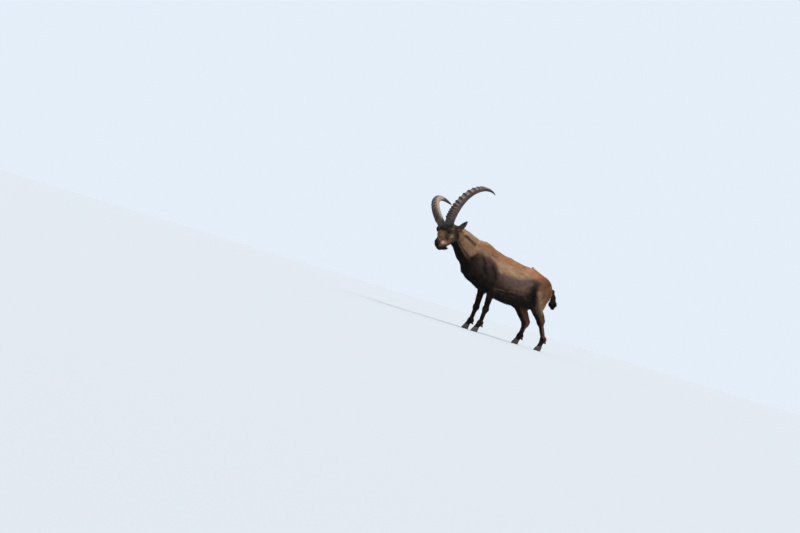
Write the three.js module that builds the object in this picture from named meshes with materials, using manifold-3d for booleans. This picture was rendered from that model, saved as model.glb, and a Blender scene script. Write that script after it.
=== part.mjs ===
// A male alpine ibex, standing, life size, its head turned to its left and lowered a little.
// Millimetres, +Z up. The animal faces -X and its left side is towards -Y. It stands on z = 0.
// The body is described by a field of tapered rods and egg shapes, the muscles and bones under the
// coat, and each length of the body is a closed skin cast onto that field from its own middle line.
// Every surface here is the outside of the coat, out to the tips of the hair.
import * as THREE from "three";
import { mergeVertices } from "three/addons/utils/BufferGeometryUtils.js";
import Module from "manifold-3d";

const wasm = await Module();
wasm.setup();

// Spaces kept between neighbouring pieces, and the smallest detail kept where surfaces cross
const GAP = 0.4;
const FINEST = 0.2;

// The barrel of the body, in stations from chest to rump: place along X, back, belly, half width
const BARREL = [
  [-440, 730, 590, 40],
  [-405, 850, 522, 104],
  [-335, 893, 476, 138],
  [-262, 880, 438, 150],
  [-195, 852, 410, 155],
  [-85, 822, 374, 162],
  [30, 801, 354, 165],
  [140, 780, 358, 158],
  [225, 775, 394, 146],
  [310, 748, 438, 132],
  [375, 711, 474, 116],
  [430, 668, 512, 92],
  [474, 618, 560, 30],
];
const CHEST_FRONT = [-482, 0, 612];
const BARREL_POWER = 2.25;
const RIDGE = 0.16; // how much narrower the back is than the belly

// Where the head is and how it is held
const HEAD_AT = [-701, -55, 938];
const HEAD_TURN = 47.4;
const HEAD_DROP = 27.2;
const HEAD_TILT = 21.7;

// Horns, in the head's own directions: forward, left, up
const HORN_LENGTH = 700;
const HORN_ROOT = [67, 50, 37];
const HORN_SPLAY = 23.3;
const HORN_SWEEP = 21.5;
const HORN_START = 20.9;
const HORN_BEND = [64, 55.9, 103.4];
const HORN_DEPTH = 49;
const HORN_WIDTH = 37;
const HORN_SUNK = 12;
const HORN_SIDES = 8;
// The knobs stand close together at the root and far apart above: shares of the horn's length
const KNOB_FIRST = 0.07;
const KNOB_STEPS = [0.034, 0.036, 0.036, 0.038, 0.042, 0.052, 0.064, 0.072, 0.074, 0.074, 0.066, 0.05, 0.036];
const KNOB_HEIGHT = 0.22;

// The head's middle line, from the nape to the nose, in its own directions
const HEAD_LINE = [
  [-50, 0, -62],
  [60, 0, -62],
  [190, 0, -100],
  [293, 0, -116],
];

// Eyes, ears and chin tuft
const EYE_AT = [98, 66, -35];
const EYE_RADIUS = 16.5;
const EYE_MESH = [12, 8];
const EAR_ROOT = [-12, 64, -60];
const EAR_WAY = [-0.48, 0.78, 0.4];
const EAR_LENGTH = 122;
const EAR_WIDTH = 26;
const EAR_THICK = 5;
const EAR_SUNK = 12;

// Legs: the middle of each joint, seen from the side, and how far out the leg stands
const LEGS = {
  foreleg_left: {
    y: -92,
    top: [-160, 560],
    bend: [-130, 500],
    mid: [-128, 248],
    low: [-142, 100],
    foot: [-166, 46],
  },
  foreleg_right: {
    y: 92,
    top: [-215, 560],
    bend: [-192, 492],
    mid: [-195, 242],
    low: [-210, 98],
    foot: [-234, 46],
  },
  hindleg_left: {
    y: -88,
    top: [335, 620],
    bend: [300, 462],
    mid: [440, 286],
    low: [516, 124],
    foot: [498, 46],
  },
  hindleg_right: {
    y: 88,
    top: [320, 600],
    bend: [186, 418],
    mid: [332, 230],
    low: [316, 94],
    foot: [294, 46],
  },
};

// Cloven hooves
const CLAW_LENGTH = 66;
const CLAW_WIDTH = 25;
const CLAW_HEIGHT = 50;
const CLAW_SPREAD = 15.5;
const CLAW_AHEAD = 12;
const SOLE_FLESH = 24; // how low the foot's flesh goes inside the hoof

// Where the body is parted
const FAR = 320;
const MIDDLE = 3;
const TAIL_CUT = 486;
const LIMB_CUTS = {
  foreleg: { knee: 0, oval: [-35, -22], size: [126, 96], lean: 60, core: 44, from: -78, to: 78, hem: 425, under: 372 },
  hindleg: { knee: 4, oval: [40, 20], size: [176, 122], lean: 52, core: 58, from: -120, to: 330, hem: 452, under: 348 },
};
const NECK_CUT = [
  [-392, 1100],
  [-392, 880],
  [-448, 650],
  [-474, 560],
  [-474, 480],
  [-1000, 480],
  [-1000, 1100],
];
// In the head's own directions
const HEAD_CUT = { at: [141, 0, 6], size: [900, 600, 400], lean: 45 };
const BEARD_CUT = { at: [215, 0, -230], size: [150, 90, 90], lean: 14 };

// How fine each skin is: rings along it and points round it
const TRUNK_MESH = { rings: 23, sides: 24 };
const NECK_MESH = { rings: 10, sides: 18 };
const HEAD_MESH = { rings: 21, sides: 20 };
const LEG_MESH = { rings: 16, sides: 9 };
const TAIL_MESH = { rings: 8, sides: 8 };
const BEARD_MESH = { rings: 5, sides: 8 };

// Colours of the coat and horn
const COLOURS = {
  dewclaw: 0x2f2925,
  claw: 0x2f2925,
  horn: 0x6b5d4f,
  eye: 0x3a2410,
  ear: 0x3b2f28,
  beard: 0x2b2320,
  tail: 0x2b2320,
  shin: 0x4a3a30,
  head: 0x7a6250,
  neck: 0xb99470,
  upper: 0x9a795c,
  flank: 0xa98a6c,
};

const rad = THREE.MathUtils.degToRad;
const vec = (p) => new THREE.Vector3(...p);
const mix = THREE.MathUtils.lerp;

// Directions of the head in the model's frame: forward, left and up
function headFrame() {
  const turn = rad(HEAD_TURN);
  const drop = rad(HEAD_DROP);
  const tilt = rad(HEAD_TILT);
  const forward = vec([
    -Math.cos(drop) * Math.cos(turn),
    -Math.cos(drop) * Math.sin(turn),
    -Math.sin(drop),
  ]);
  const flatLeft = vec([Math.sin(turn), -Math.cos(turn), 0]);
  const flatUp = forward.clone().cross(flatLeft);
  if (flatUp.z < 0) flatUp.negate();
  const left = flatLeft
    .clone()
    .multiplyScalar(Math.cos(tilt))
    .addScaledVector(flatUp, Math.sin(tilt));
  const up = flatUp
    .clone()
    .multiplyScalar(Math.cos(tilt))
    .addScaledVector(flatLeft, -Math.sin(tilt));
  return { forward, left, up };
}
const HEAD = headFrame();
const headOrigin = vec(HEAD_AT);

// A place given as forward, left, up in the head, in the model's frame
function fromHead([forward, left, up]) {
  return headOrigin
    .clone()
    .addScaledVector(HEAD.forward, forward)
    .addScaledVector(HEAD.left, left)
    .addScaledVector(HEAD.up, up);
}
function toHead(p) {
  const away = p.clone().sub(headOrigin);
  return [away.dot(HEAD.forward), away.dot(HEAD.left), away.dot(HEAD.up)];
}

// A tapered rod with round ends, narrowed from side to side: below zero inside it
function rod(from, to, startRadius, endRadius, narrow = 1) {
  const along = [to[0] - from[0], (to[1] - from[1]) / narrow, to[2] - from[2]];
  const square = along[0] ** 2 + along[1] ** 2 + along[2] ** 2;
  return (p) => {
    const away = [p[0] - from[0], (p[1] - from[1]) / narrow, p[2] - from[2]];
    const dot = away[0] * along[0] + away[1] * along[1] + away[2] * along[2];
    const t = Math.min(1, Math.max(0, dot / square));
    const gone = away.map((v, i) => v - along[i] * t);
    return Math.hypot(...gone) - mix(startRadius, endRadius, t);
  };
}

// An egg shape, its long axis lifted by lean degrees from X towards Z
function egg(middle, radii, lean = 0) {
  const c = Math.cos(rad(lean));
  const s = Math.sin(rad(lean));
  return (p) => {
    const [x, y, z] = p.map((v, i) => v - middle[i]);
    const q = [x * c + z * s, y, z * c - x * s];
    const near = Math.hypot(...q.map((v, i) => v / radii[i]));
    const steep = Math.hypot(...q.map((v, i) => v / radii[i] ** 2));
    return steep < 1e-9 ? -Math.min(...radii) : (near * (near - 1)) / steep;
  };
}

// The same shape on the left and on the right
function pair(shape, [x, y, z], ...rest) {
  return [shape([x, y, z], ...rest), shape([x, -y, z], ...rest)];
}
function rodPair(from, to, ...rest) {
  const flip = ([x, y, z]) => [x, -y, z];
  return [rod(from, to, ...rest), rod(flip(from), flip(to), ...rest)];
}

// Shapes joined with soft creases, reach being how wide a crease is filled
function blend(shapes, reach) {
  return (p) => {
    let value = shapes[0](p);
    for (const shape of shapes.slice(1)) {
      const other = shape(p);
      const near = Math.max(reach - Math.abs(value - other), 0) / reach;
      value = Math.min(value, other) - (near * near * reach) / 4;
    }
    return value;
  };
}

// A smooth curve through stations, each [place, values...], read at x
function stationCurve(stations) {
  const slope = (i, k) => {
    const a = stations[Math.max(i - 1, 0)];
    const b = stations[Math.min(i + 1, stations.length - 1)];
    return (b[k] - a[k]) / (b[0] - a[0]);
  };
  return (x, k) => {
    let i = 0;
    while (i < stations.length - 2 && x > stations[i + 1][0]) i++;
    const [a, b] = [stations[i], stations[i + 1]];
    const span = b[0] - a[0];
    const t = Math.min(1, Math.max(0, (x - a[0]) / span));
    const [t2, t3] = [t * t, t * t * t];
    return (
      (2 * t3 - 3 * t2 + 1) * a[k] +
      (t3 - 2 * t2 + t) * span * slope(i, k) +
      (3 * t2 - 2 * t3) * b[k] +
      (t3 - t2) * span * slope(i + 1, k)
    );
  };
}

// The barrel of the body: an upright oval section that follows the stations
const barrelAt = stationCurve(BARREL);
const BARREL_START = BARREL[0][0];
const BARREL_END = BARREL[BARREL.length - 1][0];
function barrel([x, y, z]) {
  const inside = Math.min(BARREL_END, Math.max(BARREL_START, x));
  const top = barrelAt(inside, 1);
  const bottom = barrelAt(inside, 2);
  const wide = barrelAt(inside, 3);
  const tall = (top - bottom) / 2;
  const rise = (z - (top + bottom) / 2) / tall;
  const side = y / (wide * (1 - RIDGE * Math.min(1, Math.max(-1, rise))));
  const round = (Math.abs(rise) ** BARREL_POWER + Math.abs(side) ** BARREL_POWER) ** (1 / BARREL_POWER);
  const across = (round - 1) * Math.min(tall, wide);
  const beyond = Math.abs(x - inside);
  return beyond > 0 ? Math.hypot(Math.max(across, 0), beyond) : across;
}

// Shoulders, chest and haunches over the barrel
const CHEST = egg([-396, 0, 616], [84, 94, 108]);
const shoulders = [
  ...pair(egg, [-262, 92, 640], [95, 62, 190], 68),
  ...pair(egg, [-195, 88, 520], [92, 60, 80], 40),
  CHEST,
  egg([-290, 0, 512], [105, 84, 60], -28),
];
const haunches = [
  ...pair(egg, [330, 78, 590], [128, 70, 132], 30),
  ...pair(egg, [262, 96, 480], [84, 54, 90], 60),
];
const withers = rod([-372, 0, 706], [-462, -5, 758], 152, 120, 0.78);
const trunkField = blend([barrel, ...shoulders, ...haunches, withers], 60);

// The neck, from the withers to the back of the head
const NECK_BASE = [-372, 0, 706];
const NECK_LOW = [-462, -5, 758];
const NECK_HIGH = [-548, -24, 826];
const NECK_TOP = fromHead([-6, 0, -92]).toArray();
const NECK_END = fromHead([24, 0, -58]).toArray();
const neckField = blend(
  [
    rod(NECK_BASE, NECK_LOW, 152, 120, 0.78),
    rod(NECK_LOW, NECK_HIGH, 120, 95, 0.84),
    rod(NECK_HIGH, NECK_TOP, 95, 80, 0.92),
    rod(NECK_TOP, NECK_END, 80, 50, 0.92),
    rod([-388, 0, 838], [-610, -36, 902], 45, 36, 0.62),
  ],
  60,
);

// The head, in its own directions: forward, left, up
const headShape = blend(
  [
    egg([30, 0, -40], [78, 65, 58]),
    egg([108, 0, -16], [60, 66, 50]),
    ...pair(egg, [122, 42, 5], [42, 32, 35]),
    ...pair(egg, [66, 46, 11], [50, 40, 33]),
    ...pair(egg, [104, 56, -33], [33, 24, 27]),
    ...pair(egg, [156, 22, -38], [44, 26, 26]),
    ...pair(egg, [86, 38, -90], [62, 28, 56]),
    ...rodPair([48, 30, -136], [224, 14, -158], 30, 22),
    rod([134, 0, -60], [247, 0, -112], 48, 35, 0.86),
    rod([140, 0, -36], [250, 0, -92], 29, 21, 0.92),
    egg([264, 0, -102], [24, 24, 25]),
    ...rodPair([190, 25, -120], [261, 14, -129], 23, 21),
    egg([255, 0, -160], [28, 23, 26]),
    egg([28, 0, -122], [60, 46, 58]),
  ],
  26,
);
const headField = (p) => headShape(toHead(vec(p)));

// A leg's own rods. Fore and hind legs differ in how thick each length is.
function legField(leg, fore) {
  const at = ([x, z], out = 0) => [x, leg.y + Math.sign(leg.y) * out, z];
  const heel = at(leg.low).map((v, i) => v + [7, 0, -2][i]);
  const foot = [
    egg(at(leg.low), [28, 24, 28]),
    egg(heel, [24, 22, 22]),
    rod(at(leg.low), at(leg.foot), 23, 26),
  ];
  if (fore)
    return blend(
      [
        rod(at(leg.top), at(leg.bend), 62, 48, 0.8),
        rod(at(leg.bend), at(leg.mid), 46, 28, 0.88),
        egg(at(leg.mid), [31, 28, 36]),
        rod(at(leg.mid), at(leg.low), 25, 21),
        ...foot,
      ],
      20,
    );
  const point = [leg.mid[0] + 22, leg.mid[1] + 26];
  const calf = [mix(leg.bend[0], leg.mid[0], 0.3) + 30, mix(leg.bend[1], leg.mid[1], 0.3) + 20];
  const seat = [leg.top[0] + 64, leg.top[1] - 76];
  const rear = [mix(leg.bend[0], leg.mid[0], 0.2) + 66, leg.bend[1] - 22];
  return blend(
    [
      rod(at(leg.top), at(leg.bend), 92, 70, 0.66),
      rod(at(seat), at(rear), 60, 50, 0.72),
      rod(at(leg.bend), at(leg.mid), 62, 35, 0.74),
      rod(at(calf), at(point), 42, 18, 0.74),
      egg(at(leg.mid), [38, 29, 42]),
      rod(at(leg.mid), at(leg.low), 29, 24, 0.92),
      ...foot,
    ],
    22,
  );
}

// A closed mesh from rings of points, each end closed on its own middle point, its faces pointing out
function closedRings(rings, startTip, endTip) {
  const sides = rings[0].length;
  const points = [startTip, ...rings.flat(), endTip];
  const last = points.length - 1;
  const at = (ring, side) => 1 + ring * sides + (side % sides);
  const faces = [];
  for (let side = 0; side < sides; side++) {
    faces.push(0, at(0, side + 1), at(0, side));
    faces.push(last, at(rings.length - 1, side), at(rings.length - 1, side + 1));
    for (let ring = 0; ring < rings.length - 1; ring++) {
      const [a, b] = [at(ring, side), at(ring, side + 1)];
      const [c, d] = [at(ring + 1, side), at(ring + 1, side + 1)];
      faces.push(a, b, d, a, d, c);
    }
  }
  let volume = 0;
  for (let i = 0; i < faces.length; i += 3) {
    const [a, b, c] = faces.slice(i, i + 3).map((corner) => points[corner]);
    volume += a.dot(b.clone().cross(c));
  }
  if (volume < 0) faces.reverse();
  const geometry = new THREE.BufferGeometry();
  const flat = points.flatMap((p) => p.toArray());
  geometry.setAttribute("position", new THREE.Float32BufferAttribute(flat, 3));
  geometry.setIndex(faces);
  return geometry;
}

function toSolid(geometry) {
  const bare = geometry.clone();
  bare.deleteAttribute("normal");
  bare.deleteAttribute("uv");
  const merged = mergeVertices(bare, 1e-3);
  const mesh = new wasm.Mesh({
    numProp: 3,
    vertProperties: new Float32Array(merged.attributes.position.array),
    triVerts: new Uint32Array(merged.index.array),
  });
  return new wasm.Manifold(mesh);
}

function toGeometry(solid) {
  const mesh = solid.getMesh();
  const geometry = new THREE.BufferGeometry();
  geometry.setAttribute("position", new THREE.BufferAttribute(mesh.vertProperties, 3));
  geometry.setIndex(new THREE.BufferAttribute(mesh.triVerts, 1));
  return geometry;
}

// How far the field reaches from a middle point in one direction
const CAST_STEP = 6;
const CAST_LEAST = 2;
function castRay(field, from, way, farthest) {
  const value = (r) => field([from.x + way.x * r, from.y + way.y * r, from.z + way.z * r]);
  let inside = 0;
  let outside = CAST_STEP;
  while (outside < farthest && value(outside) < 0) {
    inside = outside;
    outside += CAST_STEP;
  }
  for (let pass = 0; pass < 12; pass++) {
    const half = (inside + outside) / 2;
    if (value(half) < 0) inside = half;
    else outside = half;
  }
  return Math.max(CAST_LEAST, (inside + outside) / 2);
}

// A skin cast onto a field from a middle line. The rings crowd towards both ends.
function castSkin(field, line, { rings, sides }, { crowd = 1, farthest = 260, across = [0, 1, 0] } = {}) {
  const path = new THREE.CatmullRomCurve3(line.map(vec), false, "centripetal");
  const sideways = vec(across);
  const made = [];
  for (let i = 1; i < rings; i++) {
    const even = i / rings;
    const t = mix(even, (1 - Math.cos(Math.PI * even)) / 2, crowd);
    const middle = path.getPointAt(t);
    const tangent = path.getTangentAt(t);
    const u = sideways.clone().addScaledVector(tangent, -sideways.dot(tangent)).normalize();
    const v = tangent.clone().cross(u);
    const ring = [];
    for (let j = 0; j < sides; j++) {
      const angle = (2 * Math.PI * j) / sides;
      const way = u.clone().multiplyScalar(Math.cos(angle)).addScaledVector(v, Math.sin(angle));
      ring.push(middle.clone().addScaledVector(way, castRay(field, middle, way, farthest)));
    }
    made.push(ring);
  }
  return closedRings(made, path.getPointAt(0), path.getPointAt(1));
}

// A horn: its middle line bends back more and more, and its front carries knobs
const HORN_STEPS = 60;
function hornLine(side) {
  const splay = rad(HORN_SPLAY);
  const sweep = rad(HORN_SWEEP);
  const rise = vec([0, Math.sin(splay), Math.cos(splay)]);
  const back = vec([-Math.cos(sweep), Math.sin(sweep), 0]);
  back.addScaledVector(rise, -back.dot(rise)).normalize();
  const way = (q) => {
    const [a, b, c] = HORN_BEND.map(rad);
    const angle = rad(HORN_START) + a * q + (b * q * q) / 2 + (c * q ** 3) / 3;
    return rise.clone().multiplyScalar(Math.cos(angle)).addScaledVector(back, Math.sin(angle));
  };
  const step = HORN_LENGTH / HORN_STEPS;
  const points = [vec(HORN_ROOT)];
  for (let i = 1; i <= HORN_STEPS; i++) {
    const last = points[i - 1];
    points.push(last.clone().addScaledVector(way((i - 0.5) / HORN_STEPS), step));
  }
  const flank = rise.clone().cross(back).normalize();
  const mirror = (p) => (side > 0 ? p : p.setY(-p.y));
  return (q) => {
    const place = Math.min(HORN_STEPS, Math.max(0, q * HORN_STEPS));
    const i = Math.min(HORN_STEPS - 1, Math.floor(place));
    const spot = points[i].clone().lerp(points[i + 1], place - i);
    const tangent = way(Math.max(0, q));
    if (q < 0) spot.addScaledVector(tangent, q * HORN_LENGTH);
    return {
      spot: mirror(spot),
      tangent: mirror(tangent.clone()),
      front: mirror(tangent.clone().cross(flank.clone()).normalize()),
      flank: mirror(flank.clone()),
    };
  };
}

function hornTaper(q) {
  return Math.max(0.02, (1 - Math.max(0, q) ** 1.8) ** 0.8);
}

// Ring places along a horn: a peak and a valley for each knob, then smooth to the tip
function hornPlaces(grow) {
  const places = [-(HORN_SUNK + grow) / HORN_LENGTH, 0.02];
  let peak = KNOB_FIRST;
  for (const step of KNOB_STEPS) {
    places.push(peak, peak + step / 2);
    peak += step;
  }
  places.push(peak, 0.8, 0.88, 0.94, 0.975);
  return places;
}

function hornSkin(side, grow) {
  const line = hornLine(side);
  const places = hornPlaces(grow);
  const rings = places.map((q, i) => {
    const { spot, front, flank } = line(q);
    const knobbed = i >= 2 && i <= 2 + 2 * KNOB_STEPS.length && i % 2 === 0;
    const size = hornTaper(q);
    const ring = [];
    for (let j = 0; j < HORN_SIDES; j++) {
      const angle = (2 * Math.PI * j) / HORN_SIDES;
      const ahead = Math.cos(angle);
      const swell = knobbed ? KNOB_HEIGHT * Math.max(0, ahead) : 0;
      const deep = HORN_DEPTH * size * (1 + swell) * ahead + grow * ahead;
      const half = HORN_WIDTH * size ** 0.6 * (1 + 0.18 * ahead + 0.3 * swell) + grow;
      const wide = half * Math.sin(angle);
      ring.push(spot.clone().addScaledVector(front, deep).addScaledVector(flank, wide));
    }
    return ring;
  });
  const world = (p) => fromHead(p.toArray());
  const start = line(places[0]).spot;
  const tip = line(1).spot;
  return closedRings(rings.map((ring) => ring.map(world)), world(start), world(tip));
}

// An ear: a leaf, cupped to the front, thick enough to hold
const EAR_RINGS = 8;
const EAR_SIDES = 10;
function earSkin(side, grow) {
  const way = vec(EAR_WAY).normalize();
  const open = vec([0.8, 0.2, -0.3]);
  open.addScaledVector(way, -open.dot(way)).normalize();
  const edge = way.clone().cross(open).normalize();
  const mirror = (p) => (side > 0 ? p : p.setY(-p.y));
  const rings = [];
  for (let i = 0; i < EAR_RINGS; i++) {
    const t = i / (EAR_RINGS - 1);
    const wide = EAR_WIDTH * Math.sin(Math.PI * mix(0.12, 0.93, t) ** 1.1) + 2 + grow;
    const middle = vec(EAR_ROOT).addScaledVector(way, mix(-EAR_SUNK - grow, EAR_LENGTH - 6, t));
    middle.addScaledVector(open, -14 * t * t);
    const ring = [];
    for (let j = 0; j < EAR_SIDES; j++) {
      const angle = (2 * Math.PI * j) / EAR_SIDES;
      const outAcross = Math.cos(angle);
      const cup = 0.55 * wide * outAcross * outAcross;
      const skin = (EAR_THICK * (1 - 0.4 * t) + grow) * Math.sin(angle);
      const p = middle.clone().addScaledVector(edge, wide * outAcross).addScaledVector(open, cup + skin);
      ring.push(fromHead(mirror(p).toArray()));
    }
    rings.push(ring);
  }
  const start = vec(EAR_ROOT).addScaledVector(way, -EAR_SUNK - grow);
  const tip = vec(EAR_ROOT).addScaledVector(way, EAR_LENGTH).addScaledVector(open, -14);
  const world = (p) => fromHead(mirror(p).toArray());
  return closedRings(rings, world(start), world(tip));
}

function eyeBall(side, grow) {
  const [forward, left, up] = EYE_AT;
  const middle = fromHead([forward, side * left, up]);
  return new THREE.SphereGeometry(EYE_RADIUS + grow, ...EYE_MESH).translate(...middle.toArray());
}

// One claw of a cloven hoof: a flat sole, a sloping front wall, a round heel
const CLAW_SIDES = 10;
const CLAW_LEVELS = [
  { up: 0, size: 1, back: 0 },
  { up: 0.35, size: 0.96, back: 3 },
  { up: 0.75, size: 0.84, back: 10 },
  { up: 1, size: 0.7, back: 17 },
];
function clawSkin([footX, footY], side, grow) {
  const ringAt = (up, size, back) => {
    const ring = [];
    for (let j = 0; j < CLAW_SIDES; j++) {
      const angle = (2 * Math.PI * j) / CLAW_SIDES;
      const ahead = Math.cos(angle);
      const tip = ahead > 0 ? 1 - 0.42 * ahead ** 2 : 1;
      const x = -(CLAW_LENGTH / 2) * size * ahead + back;
      const y = (CLAW_WIDTH / 2) * size * Math.sin(angle) * tip;
      const out = side * CLAW_SPREAD - side * 2.2 * Math.max(0, ahead) ** 2;
      const push = 1 + grow / CLAW_WIDTH;
      ring.push(vec([footX + x * push, footY + out + y * push, up]));
    }
    return ring;
  };
  const rings = CLAW_LEVELS.map(({ up, size, back }) => ringAt(up * CLAW_HEIGHT, size, back));
  if (grow > 0) {
    rings.unshift(rings[0].map((p) => p.clone().setZ(-grow)));
    rings.push(rings[rings.length - 1].map((p) => p.clone().setZ(CLAW_HEIGHT + grow)));
  }
  const middleOf = (ring) => ring.reduce((sum, p) => sum.add(p), vec([0, 0, 0])).divideScalar(CLAW_SIDES);
  return closedRings(rings, middleOf(rings[0]), middleOf(rings[rings.length - 1]));
}

// Two small claws behind each pastern
function dewclawSkin(leg, side, grow) {
  const root = vec([leg.low[0] + 16, leg.y + side * 15, leg.low[1] - 14]);
  const way = vec([0.62, side * 0.18, -0.76]).normalize();
  const flank = vec([0, 1, 0]).addScaledVector(way, -way.y).normalize();
  const deep = way.clone().cross(flank);
  const rings = [
    [-grow, 9],
    [10, 10],
    [22, 7],
    [28 + grow, 3.5],
  ].map(([along, radius]) => {
    const ring = [];
    for (let j = 0; j < 6; j++) {
      const angle = (2 * Math.PI * j) / 6;
      const p = root.clone().addScaledVector(way, along);
      p.addScaledVector(flank, (radius + grow) * Math.cos(angle));
      ring.push(p.addScaledVector(deep, (radius + grow) * Math.sin(angle)));
    }
    return ring;
  });
  const start = root.clone().addScaledVector(way, -grow);
  const tip = root.clone().addScaledVector(way, 30 + grow);
  return closedRings(rings, start, tip);
}

// The tail hangs behind the rump, the tuft under the chin is short
const TAIL_LINE = [
  [445, 0, 622],
  [480, 0, 606],
  [508, 0, 560],
  [521, 0, 502],
  [531, 0, 458],
];
const TAIL_SIZE = [30, 26, 25, 34, 22];
const tailRods = TAIL_LINE.slice(1).map((to, i) => rod(TAIL_LINE[i], to, TAIL_SIZE[i], TAIL_SIZE[i + 1]));
const tailField = blend(tailRods, 12);
const BEARD_LINE = [
  [240, 0, -164],
  [196, 0, -190],
  [152, 0, -230],
];
const BEARD_SIZE = [24, 18, 7];
const BEARD_NARROW = 0.8;
const beardRods = BEARD_LINE.slice(1).map((to, i) => {
  return rod(BEARD_LINE[i], to, BEARD_SIZE[i], BEARD_SIZE[i + 1], BEARD_NARROW);
});
const beardShape = blend(beardRods, 14);
const beardField = (p) => beardShape(toHead(vec(p)));

// A side view outline pushed through the body from one Y to another
function slab(outline, [fromY, toY]) {
  const shape = new THREE.Shape(outline.map(([x, z]) => new THREE.Vector2(x, z)));
  const geometry = new THREE.ExtrudeGeometry(shape, { depth: toY - fromY, bevelEnabled: false });
  return geometry.rotateX(Math.PI / 2).translate(0, toY, 0);
}
const OVAL_POINTS = 18;
function oval([x, z], [halfLong, halfWide], lean) {
  const curve = new THREE.EllipseCurve(x, z, halfLong, halfWide, 0, 2 * Math.PI, false, rad(lean));
  return curve.getSpacedPoints(OVAL_POINTS).slice(0, -1).map((p) => [p.x, p.y]);
}
const band = (fromX, toX, fromZ, toZ) => [[fromX, fromZ], [toX, fromZ], [toX, toZ], [fromX, toZ]];

// A cutter from geometries, and the same cutter with the gap round it
function cutter(geometries) {
  const join = (shift) => geometries.map((g) => toSolid(g.clone().translate(...shift))).reduce((a, b) => a.add(b));
  const plain = join([0, 0, 0]);
  let wide = plain;
  for (const axis of [0, 1, 2])
    for (const way of [-GAP, GAP]) {
      const shift = [0, 0, 0];
      shift[axis] = way;
      wide = wide.add(join(shift));
    }
  return { plain, wide };
}

// The body is first one solid, cast length by length
const legNames = Object.keys(LEGS);
const isFore = (name) => name.startsWith("fore");
function legSkin(name) {
  const leg = LEGS[name];
  const line = [leg.top, leg.bend, leg.mid, leg.low, leg.foot].map(([x, z]) => [x, leg.y, z]);
  line.push([leg.foot[0] - 6, leg.y, SOLE_FLESH]);
  return castSkin(legField(leg, isFore(name)), line, LEG_MESH, { crowd: 0.25, farthest: 110 });
}
const middles = BARREL.slice(2).map(([x, top, bottom]) => [x, 0, (top + bottom) / 2]);
const trunkLine = [CHEST_FRONT, ...middles.filter((_, i) => i % 2 === 0)];
const headLine = HEAD_LINE.map((p) => fromHead(p).toArray());
const beardLine = BEARD_LINE.map((p) => fromHead(p).toArray());
const acrossHead = HEAD.left.toArray();
const lengths = [
  castSkin(trunkField, trunkLine, TRUNK_MESH, { crowd: 0.6 }),
  castSkin(neckField, [NECK_BASE, NECK_LOW, NECK_HIGH, NECK_TOP, NECK_END], NECK_MESH, { crowd: 0, farthest: 200 }),
  castSkin(headField, headLine, HEAD_MESH, { crowd: 0.9, farthest: 140, across: acrossHead }),
  castSkin(beardField, beardLine, BEARD_MESH, { crowd: 0.5, farthest: 40, across: acrossHead }),
  castSkin(tailField, TAIL_LINE, TAIL_MESH, { crowd: 0.5, farthest: 60 }),
  ...legNames.map(legSkin),
];
let body = lengths.map(toSolid).reduce((a, b) => a.add(b)).simplify(3 * FINEST);
const pieces = {};

// Horns, ears, eyes and claws are let into it
function letIn(name, make) {
  pieces[name] = toSolid(make(0));
  body = body.subtract(toSolid(make(GAP)));
}
for (const [word, side] of Object.entries({ left: 1, right: -1 })) {
  letIn("horn_" + word, (grow) => hornSkin(side, grow));
  letIn("ear_" + word, (grow) => earSkin(side, grow));
  letIn("eye_" + word, (grow) => eyeBall(side, grow));
}
for (const name of legNames) {
  const leg = LEGS[name];
  const hoof = [leg.foot[0] - CLAW_AHEAD, leg.y];
  for (const [word, side] of Object.entries({ inner: -Math.sign(leg.y), outer: Math.sign(leg.y) })) {
    letIn(`claw_${name}_${word}`, (grow) => clawSkin(hoof, side, grow));
    letIn(`dewclaw_${name}_${word}`, (grow) => dewclawSkin(leg, side, grow));
  }
}

// Then it is parted by thin cuts: a piece is what lies inside a cutter
function carve(name, geometries) {
  const { plain, wide } = cutter(geometries);
  const found = body.intersect(plain).decompose();
  found.sort((a, b) => b.volume() - a.volume());
  pieces[name] = found[0].simplify(FINEST);
  body = body.subtract(wide);
}
const beside = (y, near) => (y < 0 ? [-FAR, -near] : [near, FAR]);
for (const name of legNames) {
  const leg = LEGS[name];
  const [limb, word] = name.split("_");
  const cut = LIMB_CUTS[limb];
  const [bendX, bendZ] = leg.bend;
  const span = [bendX + cut.from, bendX + cut.to, -CLAW_HEIGHT];
  const shin = band(...span, leg.mid[1] + cut.knee);
  carve(`${limb}_shin_${word}`, [slab(shin, beside(leg.y, MIDDLE))]);
  const muscle = oval([bendX + cut.oval[0], bendZ + cut.oval[1]], cut.size, cut.lean);
  carve(`${limb}_upper_${word}`, [
    slab(muscle, beside(leg.y, cut.core)),
    slab(band(...span, cut.hem), beside(leg.y, cut.core)),
    slab(band(...span, cut.under), beside(leg.y, MIDDLE)),
  ]);
}
carve("tail", [slab(band(TAIL_CUT, FAR * 3, 300, 900), [-FAR, FAR])]);
const headCut = new THREE.BoxGeometry(...HEAD_CUT.size).rotateY(rad(HEAD_CUT.lean)).translate(...HEAD_CUT.at);
const headTurn = new THREE.Matrix4().makeBasis(HEAD.forward, HEAD.left, HEAD.up).setPosition(headOrigin);
const beardCut = new THREE.BoxGeometry(...BEARD_CUT.size).rotateY(rad(BEARD_CUT.lean)).translate(...BEARD_CUT.at);
carve("beard", [beardCut.applyMatrix4(headTurn)]);
carve("head", [headCut.applyMatrix4(headTurn)]);
carve("neck", [slab(NECK_CUT, [-FAR, FAR])]);
pieces.trunk = body.decompose().sort((a, b) => b.volume() - a.volume())[0].simplify(FINEST);

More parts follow.
